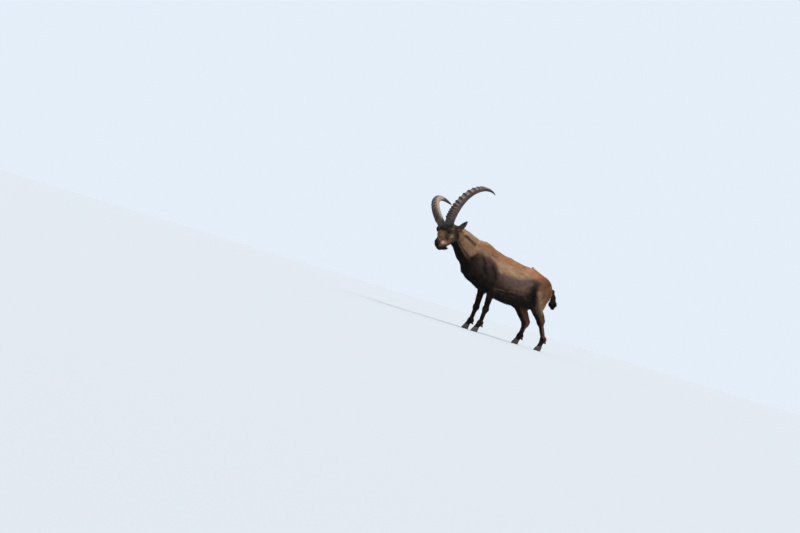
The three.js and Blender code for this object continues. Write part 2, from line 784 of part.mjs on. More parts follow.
const ibex = new THREE.Group();
ibex.name = "alpine_ibex";
function colourOf(name) {
  const word = Object.keys(COLOURS).find((key) => name.includes(key));
  return COLOURS[word] ?? COLOURS.flank;
}
for (const [name, solid] of Object.entries(pieces)) {
  const material = new THREE.MeshStandardMaterial({
    color: colourOf(name),
    roughness: name.includes("eye") ? 0.2 : 0.9,
    metalness: 0,
  });
  const mesh = new THREE.Mesh(toGeometry(solid), material);
  mesh.name = name;
  ibex.add(mesh);
}

// The origin is on the floor, under the middle of the whole animal
const whole = new THREE.Box3().setFromObject(ibex);
const centre = whole.getCenter(new THREE.Vector3());
ibex.position.set(-centre.x, -centre.y, -whole.min.z);

export default ibex;
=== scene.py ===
"""A life-size alpine ibex: one skin with its coat, horns, eyes and hooves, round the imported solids.

Lengths are millimetres in the design frame, whose origin is on the floor under the trunk: the
animal faces -X and its left side is towards -Y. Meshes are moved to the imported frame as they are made.
"""

import math

import bmesh
import bpy
import numpy as np
from mathutils import Matrix, Vector


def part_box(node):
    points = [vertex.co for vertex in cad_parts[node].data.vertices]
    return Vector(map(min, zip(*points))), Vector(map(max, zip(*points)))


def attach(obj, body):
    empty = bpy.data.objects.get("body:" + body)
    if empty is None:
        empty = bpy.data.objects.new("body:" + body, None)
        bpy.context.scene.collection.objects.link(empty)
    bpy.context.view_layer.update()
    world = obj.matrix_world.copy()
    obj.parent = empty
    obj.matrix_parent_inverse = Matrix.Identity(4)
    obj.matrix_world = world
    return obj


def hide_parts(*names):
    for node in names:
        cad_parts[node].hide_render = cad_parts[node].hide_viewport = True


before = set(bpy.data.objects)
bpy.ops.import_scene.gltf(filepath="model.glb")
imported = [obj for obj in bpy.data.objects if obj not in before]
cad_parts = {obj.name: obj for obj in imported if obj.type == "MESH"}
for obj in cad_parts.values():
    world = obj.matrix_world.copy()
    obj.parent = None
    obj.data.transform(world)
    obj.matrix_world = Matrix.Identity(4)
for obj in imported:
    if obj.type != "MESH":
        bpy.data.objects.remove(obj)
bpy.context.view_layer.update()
rng = np.random.default_rng(11)

# The barrel of the body, in stations from chest to rump: place along X, back, belly, half width
BARREL = [
    [-440, 730, 590, 40],
    [-405, 850, 522, 104],
    [-335, 893, 476, 138],
    [-262, 880, 438, 150],
    [-195, 852, 410, 155],
    [-85, 822, 374, 162],
    [30, 801, 354, 165],
    [140, 780, 358, 158],
    [225, 775, 394, 146],
    [310, 748, 438, 132],
    [375, 711, 474, 116],
    [430, 668, 512, 92],
    [474, 618, 560, 30],
]
# How square the barrel is in section, and how much narrower it is along the back
BARREL_POWER = 2.25
RIDGE = 0.16

# Where the head is and how it is held
HEAD_AT = np.array([-701.0, -55.0, 938.0])
HEAD_TURN = 47.4
HEAD_DROP = 27.2
HEAD_TILT = 21.7

# Horns, in the head's own directions: forward, left, up
HORN_LENGTH = 700
HORN_ROOT = [67, 50, 37]
HORN_SPLAY = 23.3
HORN_SWEEP = 21.5
HORN_START = 20.9
HORN_BEND = [64, 55.9, 103.4]
HORN_DEPTH = 49
HORN_WIDTH = 37
HORN_INSIDE = 44
KNOB_FIRST = 0.07
KNOB_HEIGHT = 0.22

# Eyes and ears
EYE_AT = np.array([98.0, 66.0, -35.0])
EYE_RADIUS = 16.5
EAR_ROOT = [-12, 64, -60]
EAR_WAY = [-0.48, 0.78, 0.4]
EAR_LENGTH = 122
EAR_WIDTH = 26
EAR_THICK = 5

# Legs: how far out each stands, and the middle of each joint seen from the side, as places (x, z)
JOINTS = ("top", "bend", "mid", "low", "foot")
LEG_TABLE = {
    "foreleg_left": (-92, (-160, 560), (-130, 500), (-128, 248), (-142, 100), (-166, 46)),
    "foreleg_right": (92, (-215, 560), (-192, 492), (-195, 242), (-210, 98), (-234, 46)),
    "hindleg_left": (-88, (335, 620), (300, 462), (440, 286), (516, 124), (498, 46)),
    "hindleg_right": (88, (320, 600), (186, 418), (332, 230), (316, 94), (294, 46)),
}
LEGS = {name: dict(zip(("y", *JOINTS), row)) for name, row in LEG_TABLE.items()}
CLAW_LENGTH = 66
CLAW_WIDTH = 25
CLAW_HEIGHT = 50
CLAW_SPREAD = 15.5
CLAW_AHEAD = 12

TAIL_LINE = [(445, 0, 622), (480, 0, 606), (508, 0, 560), (521, 0, 502), (531, 0, 458)]
TAIL_SIZE = [30, 26, 25, 34, 22]
SIDES = (("left", 1), ("right", -1))


# Directions of the head, as the rows of a matrix: forward, left, up
def head_axes():
    turn, drop, tilt = np.radians([HEAD_TURN, HEAD_DROP, HEAD_TILT])
    forward = np.array(
        [-math.cos(drop) * math.cos(turn), -math.cos(drop) * math.sin(turn), -math.sin(drop)]
    )
    flat_left = np.array([math.sin(turn), -math.cos(turn), 0])
    flat_up = np.cross(forward, flat_left)
    if flat_up[2] < 0:
        flat_up = -flat_up
    left = flat_left * math.cos(tilt) + flat_up * math.sin(tilt)
    up = flat_up * math.cos(tilt) - flat_left * math.sin(tilt)
    return np.array([forward, left, up])


HEAD = head_axes()


def from_head(p):
    return HEAD_AT + np.asarray(p, float) @ HEAD


def to_head(p):
    return (p - HEAD_AT) @ HEAD.T


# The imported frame's origin lies elsewhere: the left eye is at a known place in both
eye_low, eye_high = (np.array(corner) * 1000 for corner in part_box("eye_left"))
SHIFT = (eye_low + eye_high) / 2 - from_head(EYE_AT)


def unit(v):
    return v / np.maximum(np.linalg.norm(v, axis=-1, keepdims=True), 1e-9)


def dot(a, b):
    return np.sum(a * b, axis=-1)


def mirrored(p):
    """The points, with those beyond the middle plane turned to this side of it"""
    return np.stack([p[:, 0], np.abs(p[:, 1]), p[:, 2]], 1)


def far_from(p, middle, radii):
    """Distance from a place or from its mirror image, whichever is nearer, in radii"""
    return np.linalg.norm((mirrored(p) - np.array(middle, float)) / np.array(radii, float), axis=1)


def line_distance(p, spots):
    """Distance from a line through spots"""
    spots = np.array(spots, float)
    least = np.full(len(p), 1e9)
    for a, b in zip(spots, spots[1:]):
        along = b - a
        t = np.clip((p - a) @ along / (along @ along), 0, 1)
        least = np.minimum(least, np.linalg.norm(p - a - t[:, None] * along, axis=1))
    return least


def smooth(low, high, value):
    """0 below low, 1 above high, and a soft step between them"""
    t = np.clip((value - low) / (high - low), 0, 1)
    return t * t * (3 - 2 * t)


def mix(a, b, t):
    t = np.asarray(t)
    if np.ndim(t) == 1 and np.ndim(b) >= 1 and np.shape(b)[-1] == 3:
        t = t[:, None]
    return a + (np.asarray(b) - a) * t


# A shape is a value at each point, below zero inside, with the box that it fills.
# Points more than NEAR_BOX outside the box are given FAR
FAR = 160.0
NEAR_BOX = 90.0


class Shape:
    def __init__(self, value, low, high):
        self.value = value
        self.low = np.array(low, float)
        self.high = np.array(high, float)

    def __call__(self, p):
        out = np.full(len(p), FAR)
        near = np.all((p > self.low - NEAR_BOX) & (p < self.high + NEAR_BOX), axis=1)
        if near.any():
            out[near] = self.value(p[near])
        return out


def rod(start, end, start_radius, end_radius, narrow=1.0):
    a, b = np.array(start, float), np.array(end, float)
    squeeze = np.array([1, 1 / narrow, 1])
    along = (b - a) * squeeze

    def value(p):
        away = (p - a) * squeeze
        t = np.clip(away @ along / (along @ along), 0, 1)
        return np.linalg.norm(away - t[:, None] * along, axis=1) - mix(start_radius, end_radius, t)

    wide = max(start_radius, end_radius)
    return Shape(value, np.minimum(a, b) - wide, np.maximum(a, b) + wide)


def egg(middle, radii, lean=0):
    middle, radii = np.array(middle, float), np.array(radii, float)
    c, s = math.cos(math.radians(lean)), math.sin(math.radians(lean))

    def value(p):
        away = p - middle
        q = np.stack([away[:, 0] * c + away[:, 2] * s, away[:, 1], away[:, 2] * c - away[:, 0] * s], 1)
        near = np.linalg.norm(q / radii, axis=1)
        steep = np.maximum(np.linalg.norm(q / radii**2, axis=1), 1e-9)
        return near * (near - 1) / steep

    return Shape(value, middle - radii.max(), middle + radii.max())


def pair(shape, middle, *rest):
    x, y, z = middle
    return [shape((x, y, z), *rest), shape((x, -y, z), *rest)]


def rod_pair(start, end, *rest):
    flip = lambda p: (p[0], -p[1], p[2])
    return [rod(start, end, *rest), rod(flip(start), flip(end), *rest)]


def join(a, b, reach):
    near = np.maximum(reach - np.abs(a - b), 0) / reach
    return np.minimum(a, b) - near * near * reach / 4


def blend(shapes, reach):
    def value(p):
        out = shapes[0](p)
        for shape in shapes[1:]:
            out = join(out, shape(p), reach)
        return out

    low = np.min([s.low for s in shapes], 0)
    high = np.max([s.high for s in shapes], 0)
    return Shape(value, low, high)


def station_curve(stations):
    """A smooth curve through stations, each a place and its values"""
    rows = np.array(stations, float)
    slopes = np.gradient(rows, axis=0)
    slopes = slopes / slopes[:, :1]

    def read(x, k):
        i = np.clip(np.searchsorted(rows[:, 0], x) - 1, 0, len(rows) - 2)
        span = rows[i + 1, 0] - rows[i, 0]
        t = np.clip((x - rows[i, 0]) / span, 0, 1)
        t2, t3 = t * t, t * t * t
        return (
            (2 * t3 - 3 * t2 + 1) * rows[i, k]
            + (t3 - 2 * t2 + t) * span * slopes[i, k]
            + (3 * t2 - 2 * t3) * rows[i + 1, k]
            + (t3 - t2) * span * slopes[i + 1, k]
        )

    return read


barrel_at = station_curve(BARREL)


def barrel_edges(p):
    """Place along the barrel, and its back, belly and half width there"""
    inside = np.clip(p[:, 0], BARREL[0][0], BARREL[-1][0])
    return inside, *(barrel_at(inside, k) for k in (1, 2, 3))


def barrel_value(p):
    x, y, z = p.T
    inside, top, bottom, wide = barrel_edges(p)
    tall = (top - bottom) / 2
    rise = (z - (top + bottom) / 2) / tall
    side = y / (wide * (1 - RIDGE * np.clip(rise, -1, 1)))
    power = BARREL_POWER
    round_ = (np.abs(rise) ** power + np.abs(side) ** power) ** (1 / power)
    across = (round_ - 1) * np.minimum(tall, wide)
    beyond = np.abs(x - inside)
    return np.where(beyond > 0, np.hypot(np.maximum(across, 0), beyond), across)


barrel = Shape(barrel_value, (-440, -170, 340), (474, 170, 900))
CHEST = egg((-396, 0, 616), (84, 94, 108))
NECK_BASE = (-372, 0, 706)
NECK_LOW = (-462, -5, 758)
NECK_HIGH = (-548, -24, 826)
NECK_TOP = from_head((-6, 0, -92))
NECK_END = from_head((24, 0, -58))
trunk = blend(
    [
        barrel,
        *pair(egg, (-262, 92, 640), (95, 62, 190), 68),
        *pair(egg, (-195, 88, 520), (92, 60, 80), 40),
        CHEST,
        egg((-290, 0, 512), (105, 84, 60), -28),
        *pair(egg, (330, 78, 590), (128, 70, 132), 30),
        *pair(egg, (262, 96, 480), (84, 54, 90), 60),
        rod(NECK_BASE, NECK_LOW, 152, 120, 0.78),
    ],
    60,
)
neck = blend(
    [
        rod(NECK_BASE, NECK_LOW, 152, 120, 0.78),
        rod(NECK_LOW, NECK_HIGH, 120, 95, 0.84),
        rod(NECK_HIGH, NECK_TOP, 95, 80, 0.92),
        rod(NECK_TOP, NECK_END, 80, 50, 0.92),
        rod((-388, 0, 838), (-610, -36, 902), 45, 36, 0.62),
    ],
    60,
)

# The head, in its own directions
head_shape = blend(
    [
        egg((30, 0, -40), (78, 65, 58)),
        egg((108, 0, -16), (60, 66, 50)),
        *pair(egg, (122, 42, 5), (42, 32, 35)),
        *pair(egg, (66, 46, 11), (50, 40, 33)),
        *pair(egg, (104, 56, -33), (33, 24, 27)),
        *pair(egg, (156, 22, -38), (44, 26, 26)),
        *pair(egg, (86, 38, -90), (62, 28, 56)),
        *rod_pair((48, 30, -136), (224, 14, -158), 30, 22),
        rod((134, 0, -60), (247, 0, -112), 48, 35, 0.86),
        rod((140, 0, -36), (250, 0, -92), 29, 21, 0.92),
        egg((264, 0, -102), (24, 24, 25)),
        *rod_pair((190, 25, -120), (261, 14, -129), 23, 21),
        egg((255, 0, -160), (28, 23, 26)),
        egg((28, 0, -122), (60, 46, 58)),
    ],
    26,
)
head = Shape(lambda p: head_shape(to_head(p)), HEAD_AT - [300, 320, 260], HEAD_AT + [160, 160, 130])


def leg_shape(name):
    leg = LEGS[name]
    y = leg["y"]
    top, bend, mid, low, foot_end = (np.array([leg[joint][0], y, leg[joint][1]], float) for joint in JOINTS)
    foot = [egg(low, (28, 24, 28)), egg(low + [7, 0, -2], (24, 22, 22)), rod(low, foot_end, 23, 26)]
    if name.startswith("fore"):
        shapes = [
            rod(top, bend, 62, 48, 0.8),
            rod(bend, mid, 46, 28, 0.88),
            egg(mid, (31, 28, 36)),
            rod(mid, low, 25, 21),
        ]
        return blend(shapes + foot, 20)
    point = mid + [22, 0, 26]
    calf = mix(bend, mid, 0.3) + [30, 0, 20]
    seat = top + [64, 0, -76]
    rear = np.array([mix(bend[0], mid[0], 0.2) + 66, y, bend[2] - 22])
    shapes = [
        rod(top, bend, 92, 70, 0.66),
        rod(seat, rear, 60, 50, 0.72),
        rod(bend, mid, 62, 35, 0.74),
        rod(calf, point, 42, 18, 0.74),
        egg(mid, (38, 29, 42)),
        rod(mid, low, 29, 24, 0.92),
    ]
    return blend(shapes + foot, 22)


def leg_middle(leg, z):
    """Place along X of a leg's middle line, at each height"""
    spots = [leg[joint] for joint in reversed(JOINTS)]
    return np.interp(z, [height for _, height in spots], [x for x, _ in spots])


tail = blend([rod(*piece) for piece in zip(TAIL_LINE, TAIL_LINE[1:], TAIL_SIZE, TAIL_SIZE[1:])], 12)
PARTS = {"trunk": trunk, "neck": neck, "head": head, "tail": tail, **{name: leg_shape(name) for name in LEGS}}
# How far the blend reaches where each part meets the trunk
CREASES = {"neck": 24, "head": 26, "tail": 14}
LEG_CREASE = 38


# Smooth random values, the same for the same place
def noise(p, size, seed=0):
    q = p / size + seed * 17.31
    cell = np.floor(q).astype(np.int64)
    t = q - cell
    t = t * t * (3 - 2 * t)
    out = np.zeros(len(p))
    for corner in np.ndindex(2, 2, 2):
        c = cell + corner
        h = (c[:, 0] * 73856093) ^ (c[:, 1] * 19349663) ^ (c[:, 2] * 83492791) ^ (seed * 2654435761)
        h = (h ^ (h >> 13)) * 1274126177 & 0xFFFFFFFF
        weight = np.prod(np.where(corner, t, 1 - t), axis=1)
        out += weight * (h / 0xFFFFFFFF)
    return out * 2 - 1


def stroke(p, spots, width, soft=0.5):
    """1 along a line in the side view, fading over its edge, spots being places (x, z)"""
    return 1 - smooth(width * (1 - soft), width * (1 + soft), line_distance(p[:, [0, 2]], spots))


def spot(p, middle, radii, soft=0.5):
    """1 at a place, fading over its edge, on both sides of the middle plane"""
    return 1 - smooth(1 - soft, 1 + soft, far_from(p, middle, radii))


# Muscle and bone under the coat: how far each line in the side view stands out or lies in
FORMS = [
    ([(-300, 780), (-270, 660), (-205, 540)], 26, 5),
    ([(-170, 760), (-150, 660), (-140, 560)], 22, -6),
    ([(-395, 760), (-372, 660), (-330, 560)], 16, -6),
    ([(120, 720), (170, 640), (205, 560)], 34, -9),
    ([(225, 735), (290, 715)], 22, 6),
    ([(300, 640), (330, 560), (330, 480)], 36, 5),
    ([(395, 640), (385, 560), (372, 500)], 14, -5),
    ([(215, 500), (238, 455)], 18, -5),
    ([(-118, 520), (-112, 470)], 16, -5),
]


def forms(p):
    side = smooth(40, 90, np.abs(p[:, 1]))
    out = noise(p, 75, 1) * 2.2 + noise(p, 34, 2)
    for line, width, height in FORMS:
        out += height * side * stroke(p, line, width, 0.9)
    return out


def part_values(p):
    return {name: part(p) for name, part in PARTS.items()}


def body_value(p, values=None):
    values = values or part_values(p)
    out = values["trunk"]
    for name, value in values.items():
        if name != "trunk":
            out = join(out, value, CREASES.get(name, LEG_CREASE))
    return out


# Regions of the coat: how much each point belongs to each, from 0 to 1
REGION_EDGE = 12


def regions(p):
    values = part_values(p)
    least = np.min(list(values.values()), axis=0)
    weight = {name: np.exp(-(value - least) / REGION_EDGE) for name, value in values.items()}
    total = np.sum(list(weight.values()), axis=0)
    weight = {name: value / total for name, value in weight.items()}
    legs = sum(weight[name] for name in LEGS)
    h = to_head(p)
    # How far above the neck's middle line, and how high on the barrel, from 0 to 1
    base = np.array([-430.0, 0, 735])
    line = NECK_TOP - base
    t = np.clip((p - base) @ line / (line @ line), 0, 1)
    rise = (p - base - t[:, None] * line) @ unit(np.array([line[2], 0, -line[0]]))
    _, back, under, _ = barrel_edges(p)
    height = (p[:, 2] - under) / (back - under)
    return dict(
        values=values,
        weight=weight,
        leg=legs,
        head=weight["head"],
        tail=weight["tail"],
        neck=weight["neck"],
        low_leg=legs * smooth(330, 230, p[:, 2]),
        foot=legs * smooth(120, 70, p[:, 2]),
        muzzle=weight["head"] * smooth(110, 200, h[:, 0]),
        crest=(weight["neck"] + 0.6 * weight["trunk"] * smooth(-250, -380, p[:, 0])) * smooth(45, 85, rise),
        throat=weight["neck"] * smooth(-20, -80, rise),
        chest=(weight["trunk"] + weight["neck"]) * smooth(-330, -410, p[:, 0]) * smooth(720, 600, p[:, 2]),
        belly=weight["trunk"] * smooth(0.28, 0.1, height) * smooth(-380, -300, p[:, 0]),
        back=weight["trunk"] * smooth(0.86, 0.97, height) * smooth(60, 20, np.abs(p[:, 1])),
        tuft=weight["trunk"]
        * smooth(24, 6, np.abs(p[:, 0] - TUFT_X))
        * smooth(34, 12, np.abs(p[:, 1]))
        * smooth(0.9, 0.96, height),
        horn_foot=weight["head"] * smooth(1.25, 0.7, far_from(h, (78, 0.8 * HORN_ROOT[1], 34), (52, 44, 40))),
        height=height,
        level=p[:, 2],
        head_place=h,
    )


def layered(measure, layers):
    """A measure of the coat, with each value of the layers laid over it by its share"""
    for value, share in layers:
        measure = mix(measure, value, share)
    return measure


def coat_length(r):
    on_tail = mix(mix(14, 38, smooth(440, 510, r["level"])), 16, smooth(530, 580, r["level"]))
    layers = [
        (34, r["neck"]),
        (24, r["leg"]),
        (12, r["low_leg"]),
        (8, r["foot"]),
        (12, r["head"]),
        (5.5, r["muzzle"]),
        (26, r["horn_foot"]),
        (44, r["crest"]),
        (40, np.clip(r["throat"] + r["chest"], 0, 1)),
        (44, r["belly"]),
        (34, r["back"]),
        (34, r["tuft"]),
        (on_tail, r["tail"]),
    ]
    return layered(27, layers)


def coat_depth(r):
    layers = [
        (7, r["leg"]),
        (3.2, r["low_leg"]),
        (2.6, r["foot"]),
        (3.4, r["head"]),
        (1.8, r["muzzle"]),
        (12, r["horn_foot"]),
        (13, r["crest"]),
        (12, np.clip(r["throat"] + r["chest"] + r["belly"], 0, 1)),
        (26, r["tuft"]),
        (8, r["tail"]),
    ]
    return layered(8.5, layers)


def flow(p, normals, r):
    """The lie of the coat: which way the hair points at each place"""
    w = r["weight"]
    away = np.outer(np.sign(p[:, 1]), [0, 1, 0])
    way = np.outer(w["trunk"], [1.0, 0, -0.12])
    way += (w["trunk"] * smooth(0.95, 0.5, r["height"]))[:, None] * np.array([0, 0, -0.5])
    way += (w["trunk"] * smooth(-60, -330, p[:, 0]))[:, None] * np.array([-0.1, 0, -0.5])
    way += np.outer(w["neck"], unit(np.array(NECK_BASE) - NECK_TOP) + [0, 0, -0.45])
    way += np.outer(w["head"], -HEAD[0] - HEAD[2] * 0.15)
    way += np.outer(r["leg"], [0.25, 0, -1.0])
    # The tail's hair fans out from its middle line
    tail_x, _, tail_z = np.array(TAIL_LINE[1:], float).T
    fan = (p[:, 0] - np.interp(-p[:, 2], -tail_z, tail_x)) / 34
    way += np.outer(w["tail"], [0.15, 0, -0.8])
    way[:, 0] += w["tail"] * 0.55 * fan * smooth(560, 500, p[:, 2])
    way += 0.12 * away * (w["trunk"] * smooth(0.9, 1.0, r["height"]))[:, None]
    way += 0.2 * np.stack([noise(p, 60, s) for s in (5, 6, 7)], 1)
    way -= dot(way, normals)[:, None] * normals
    return unit(way)


# Colours of the coat, as seen in plain light
def linear(rgb):
    c = np.array(rgb, float) / 255
    return np.where(c <= 0.04045, c / 12.92, ((c + 0.055) / 1.055) ** 2.4)


TAN = linear((186, 148, 118))
ORANGE = linear((186, 132, 94))
RUST = linear((166, 110, 74))
GOLD = linear((204, 168, 134))
MAUVE = linear((120, 100, 94))
BLACK = linear((19, 16, 16))
DARK = linear((40, 31, 27))
BROWN = linear((76, 56, 46))
SPINE = linear((66, 48, 40))
NECK_TAN = linear((200, 160, 124))
MANE = linear((204, 168, 140))
CREAM = linear((204, 180, 154))
STRIPE = linear((78, 50, 36))
FACE = linear((88, 66, 48))
NOSE = linear((16, 14, 16))
PINK = linear((184, 150, 124))
SHOULDER = linear((116, 90, 78))
DUSK = linear((84, 65, 56))
BLUE = linear((74, 66, 66))
FLAXEN = linear((158, 132, 104))
POLL = linear((78, 52, 40))
NECK_PALE = linear((214, 172, 128))
HOCK = linear((128, 90, 66))
LIP = linear((96, 86, 76))

# A few hairs stand up here on the back
TUFT_X = 200.0

# Above this line the side is pale, below it dark: places (x, z)
DARK_LINE = [
    *((-760, 1010), (-640, 930), (-606, 872), (-581, 822), (-501, 758), (-440, 716), (-408, 738), (-357, 778)),
    *((-300, 756), (-239, 740), (-190, 712), (-145, 672), (-105, 616), (-40, 584), (60, 566), (150, 560)),
    *((215, 600), (255, 650), (285, 630), (308, 560), (335, 480), (420, 370), (470, 250), (560, 160)),
]
dark_curve = station_curve(DARK_LINE)


def dark_edge(x):
    """Height of the line at each place along X"""
    return dark_curve(np.clip(x, DARK_LINE[0][0], DARK_LINE[-1][0]), 1)


def body_colour(p, r):
    x, y, _ = p.T
    wander = 13 * noise(p, 42, 11) + 8 * noise(p, 17, 12)
    streak = noise(p * [0.3, 1, 1], 12, 13)
    c = mix(TAN, GOLD, stroke(p, [(-110, 690), (20, 680), (150, 690)], 66, 0.7))
    c = mix(c, ORANGE, smooth(0.66, 0.95, r["height"] + 0.05 * wander / 13) * 0.8)
    c = mix(c, RUST, stroke(p, [(-230, 800), (-120, 770), (-40, 752)], 22, 0.9) * 0.4)
    c = mix(c, ORANGE, smooth(170, 290, x + wander))
    c = mix(c, RUST, stroke(p, [(257, 760), (366, 700), (435, 625), (458, 570)], 36, 0.9) * 0.7)
    c = mix(c, RUST, stroke(p, [(440, 610), (468, 545), (430, 500)], 24, 0.9) * 0.6)
    c = mix(c, MAUVE, stroke(p, [(-85, 600), (33, 600), (128, 598), (200, 640)], 34, 0.9) * 0.85)
    c = mix(c, BROWN, 0.3 * smooth(0.1, 0.9, streak))
    c = mix(c, CREAM, 0.2 * smooth(0.2, 0.9, -streak))
    below = dark_edge(x) + wander - p[:, 2]
    chest = smooth(-340, -430, x)
    fade = mix(1.0, 0.45, np.maximum(chest, smooth(210, 290, x)))
    deep = mix(SHOULDER, DUSK, smooth(20, 110, below + 22 * noise(p, 24, 14)))
    blotch = smooth(0.4, -0.6, noise(p, 38, 17))
    deep = mix(deep, DARK, smooth(90, 190, below + 25 * noise(p, 30, 16)) * (0.45 + 0.55 * blotch))
    under = smooth(-140, -60, x)
    deep = mix(deep, DARK, under * smooth(40, 110, below + 20 * noise(p, 30, 19)) * 0.8)
    deep = mix(deep, BLACK, smooth(150, 270, below + 60 * under + 30 * noise(p, 45, 18)))
    deep = mix(deep, BLACK, chest * 0.95)
    hairs = stroke(p, [(-90, 470), (60, 520), (210, 500)], 56, 0.8)
    deep = mix(deep, FLAXEN, 0.6 * smooth(0.25, 0.8, streak) * hairs)
    deep = mix(deep, BLACK, stroke(p, [(-352, 798), (-336, 760), (-306, 716), (-284, 684)], 13, 0.9) * 0.75)
    # Painted shade in the groove behind the shoulder and down the front of the shoulder blade's ridge
    deep = mix(deep, DARK, stroke(p, [(-205, 676), (-158, 618), (-140, 560)], 17, 0.9) * 0.8)
    deep = mix(deep, DARK, stroke(p, [(-285, 650), (-240, 590), (-215, 520)], 16, 0.9) * 0.7)
    c = mix(c, deep, smooth(-34, 26, below * (1.5 - 0.5 * fade)) * (1 - r["crest"]))
    # The fold behind the shoulder blade is pale
    c = mix(c, GOLD, stroke(p, [(-239, 766), (-188, 738), (-143, 694), (-106, 640)], 9, 0.9) * 0.85)
    # The thigh: dark in front, with a pale stripe behind
    thigh = smooth(25, 60, np.abs(y))
    c = mix(c, BLUE, stroke(p, [(236, 650), (285, 646)], 26, 0.8) * 0.75 * thigh)
    c = mix(c, BLACK, stroke(p, [(262, 585), (272, 520), (270, 440)], 32, 0.9) * 0.85)
    stripe = stroke(p, [(322, 560), (345, 525), (375, 480), (414, 405), (450, 330)], 24, 0.8)
    c = mix(c, GOLD, stripe * thigh * 0.85)
    spine = np.exp(-((y / 15) ** 2)) * smooth(0.8, 0.95, r["height"]) * smooth(-420, -300, x)
    return mix(c, SPINE, spine * 0.85)


def neck_colour(p, r):
    c = mix(NECK_TAN, ORANGE, stroke(p, [(-590, 872), (-570, 838), (-545, 806)], 20, 0.8) * 0.8)
    c = mix(c, ORANGE, stroke(p, [(-430, 860), (-380, 830)], 40, 0.8) * 0.6)
    c = mix(c, MANE, r["crest"])
    c = mix(c, STRIPE, stroke(p, [(-556, 893), (-504, 868), (-434, 836)], 11, 0.6) * 0.95)
    c = mix(c, NECK_PALE, stroke(p, [(-536, 846), (-486, 812), (-440, 766)], 22, 0.8) * 0.7)
    c = mix(c, BROWN, 0.2 * smooth(0, 0.9, noise(p * [0.5, 1, 0.5], 11, 21)))
    level = p[:, 2] - dark_edge(p[:, 0]) + 5 * noise(p, 25, 22)
    return mix(c, mix(BLACK, DARK, smooth(0, 0.8, noise(p, 26, 23))), smooth(8, -22, level))


def leg_colour(p, r):
    x, _, z = p.T
    front = sum(r["weight"][name] * smooth(-14, 10, leg_middle(leg, z) - x) for name, leg in LEGS.items())
    hind = r["weight"]["hindleg_left"] + r["weight"]["hindleg_right"]
    c = mix(DARK, BLACK, front * 0.8)
    c = mix(c, BROWN, 0.5 * smooth(-0.3, 0.8, noise(p, 24, 31)))
    c = mix(c, HOCK, hind * (1 - front) * smooth(90, 200, z))
    c = mix(c, body_colour(p, r), hind * smooth(330, 420, z))
    return mix(c, BLACK, smooth(110, 60, z) * 0.7)


# Patches of the face: colour, strength, middle and size, in the head's directions
FACE_SPOTS = [
    (linear((84, 58, 42)), 0.9, (-20, 44, -6), (34, 30, 34)),
    (linear((72, 48, 36)), 0.9, (-14, 66, -66), (20, 26, 20)),
    (linear((88, 70, 56)), 0.7, (20, 60, -22), (30, 34, 30)),
    (linear((150, 122, 96)), 0.8, (26, 62, -98), (10, 40, 44)),
    (BROWN, 0.7, (84, 42, -150), (70, 40, 26)),
    (linear((52, 38, 30)), 0.9, (150, 40, -78), (32, 22, 26)),
    (linear((52, 38, 30)), 0.8, (220, 12, -66), (24, 30, 18)),
    (linear((54, 36, 28)), 0.85, (204, 32, -94), (36, 18, 11)),
    (linear((122, 82, 56)), 0.95, (184, 16, -52), (25, 24, 19)),
    (linear((80, 50, 36)), 0.7, (190, 20, -62), (13, 12, 12)),
    (linear((140, 122, 94)), 0.85, (98, 54, -96), (32, 30, 15)),
    (linear((62, 36, 28)), 0.85, (164, 34, -102), (14, 16, 12)),
    (PINK, 0.8, (226, 26, -122), (26, 26, 17)),
    (PINK, 0.45, (194, 30, -134), (22, 22, 10)),
    (linear((88, 62, 46)), 0.7, (246, 22, -142), (16, 16, 8)),
    (linear((136, 116, 76)), 0.95, (66, 60, -2), (20, 28, 14)),
    (linear((104, 84, 58)), 0.8, (48, 62, -36), (14, 26, 12)),
]


def head_colour(p, r):
    h = r["head_place"] + 2.5 * np.stack([noise(p, 14, s) for s in (42, 43, 44)], 1)
    f, side, u = mirrored(h).T
    c = FACE
    for colour, strength, middle, size in FACE_SPOTS:
        c = mix(c, colour, spot(h, middle, size) * strength)
    dark_hair = mix(BLACK, DARK, smooth(-0.2, 0.8, noise(p, 9, 45)))
    forehead = smooth(176, 160, f - 0.25 * side) * smooth(52, 70, f - 0.2 * u)
    forehead = forehead * smooth(-34, -14, u - 0.1 * (side - 30))
    above_eye = spot(h, (66, 62, -2), (20, 26, 12))
    c = mix(c, dark_hair, forehead * (1 - 0.9 * above_eye) * 0.97)
    c = mix(c, BLACK, spot(h, (112, 62, -44), (38, 32, 24), 0.4) * 0.92)
    c = mix(c, dark_hair, spot(h, (138, 52, -22), (22, 26, 24)) * 0.9)
    c = mix(c, BLACK, smooth(-148, -158, u - 0.06 * (f - 200)) * smooth(196, 220, f))
    c = mix(c, LIP, spot(h, (222, 26, -166), (16, 16, 5)) * 0.8)
    c = mix(c, dark_hair, smooth(-154, -166, u) * smooth(0, 20, f) * 0.9)
    c = mix(c, NOSE, smooth(256, 268, f + 0.25 * (u + 102)) * smooth(-126, -116, u))
    c = mix(c, NOSE, smooth(274, 284, f + 0.1 * (u + 120)))
    c = mix(c, BROWN, 0.3 * smooth(0, 0.8, noise(p, 12, 41)))
    throat = smooth(-136, -154, u - 0.35 * f + 20) * smooth(120, 60, f) * smooth(60, 44, side)
    return mix(c, BLACK, throat * 0.9)


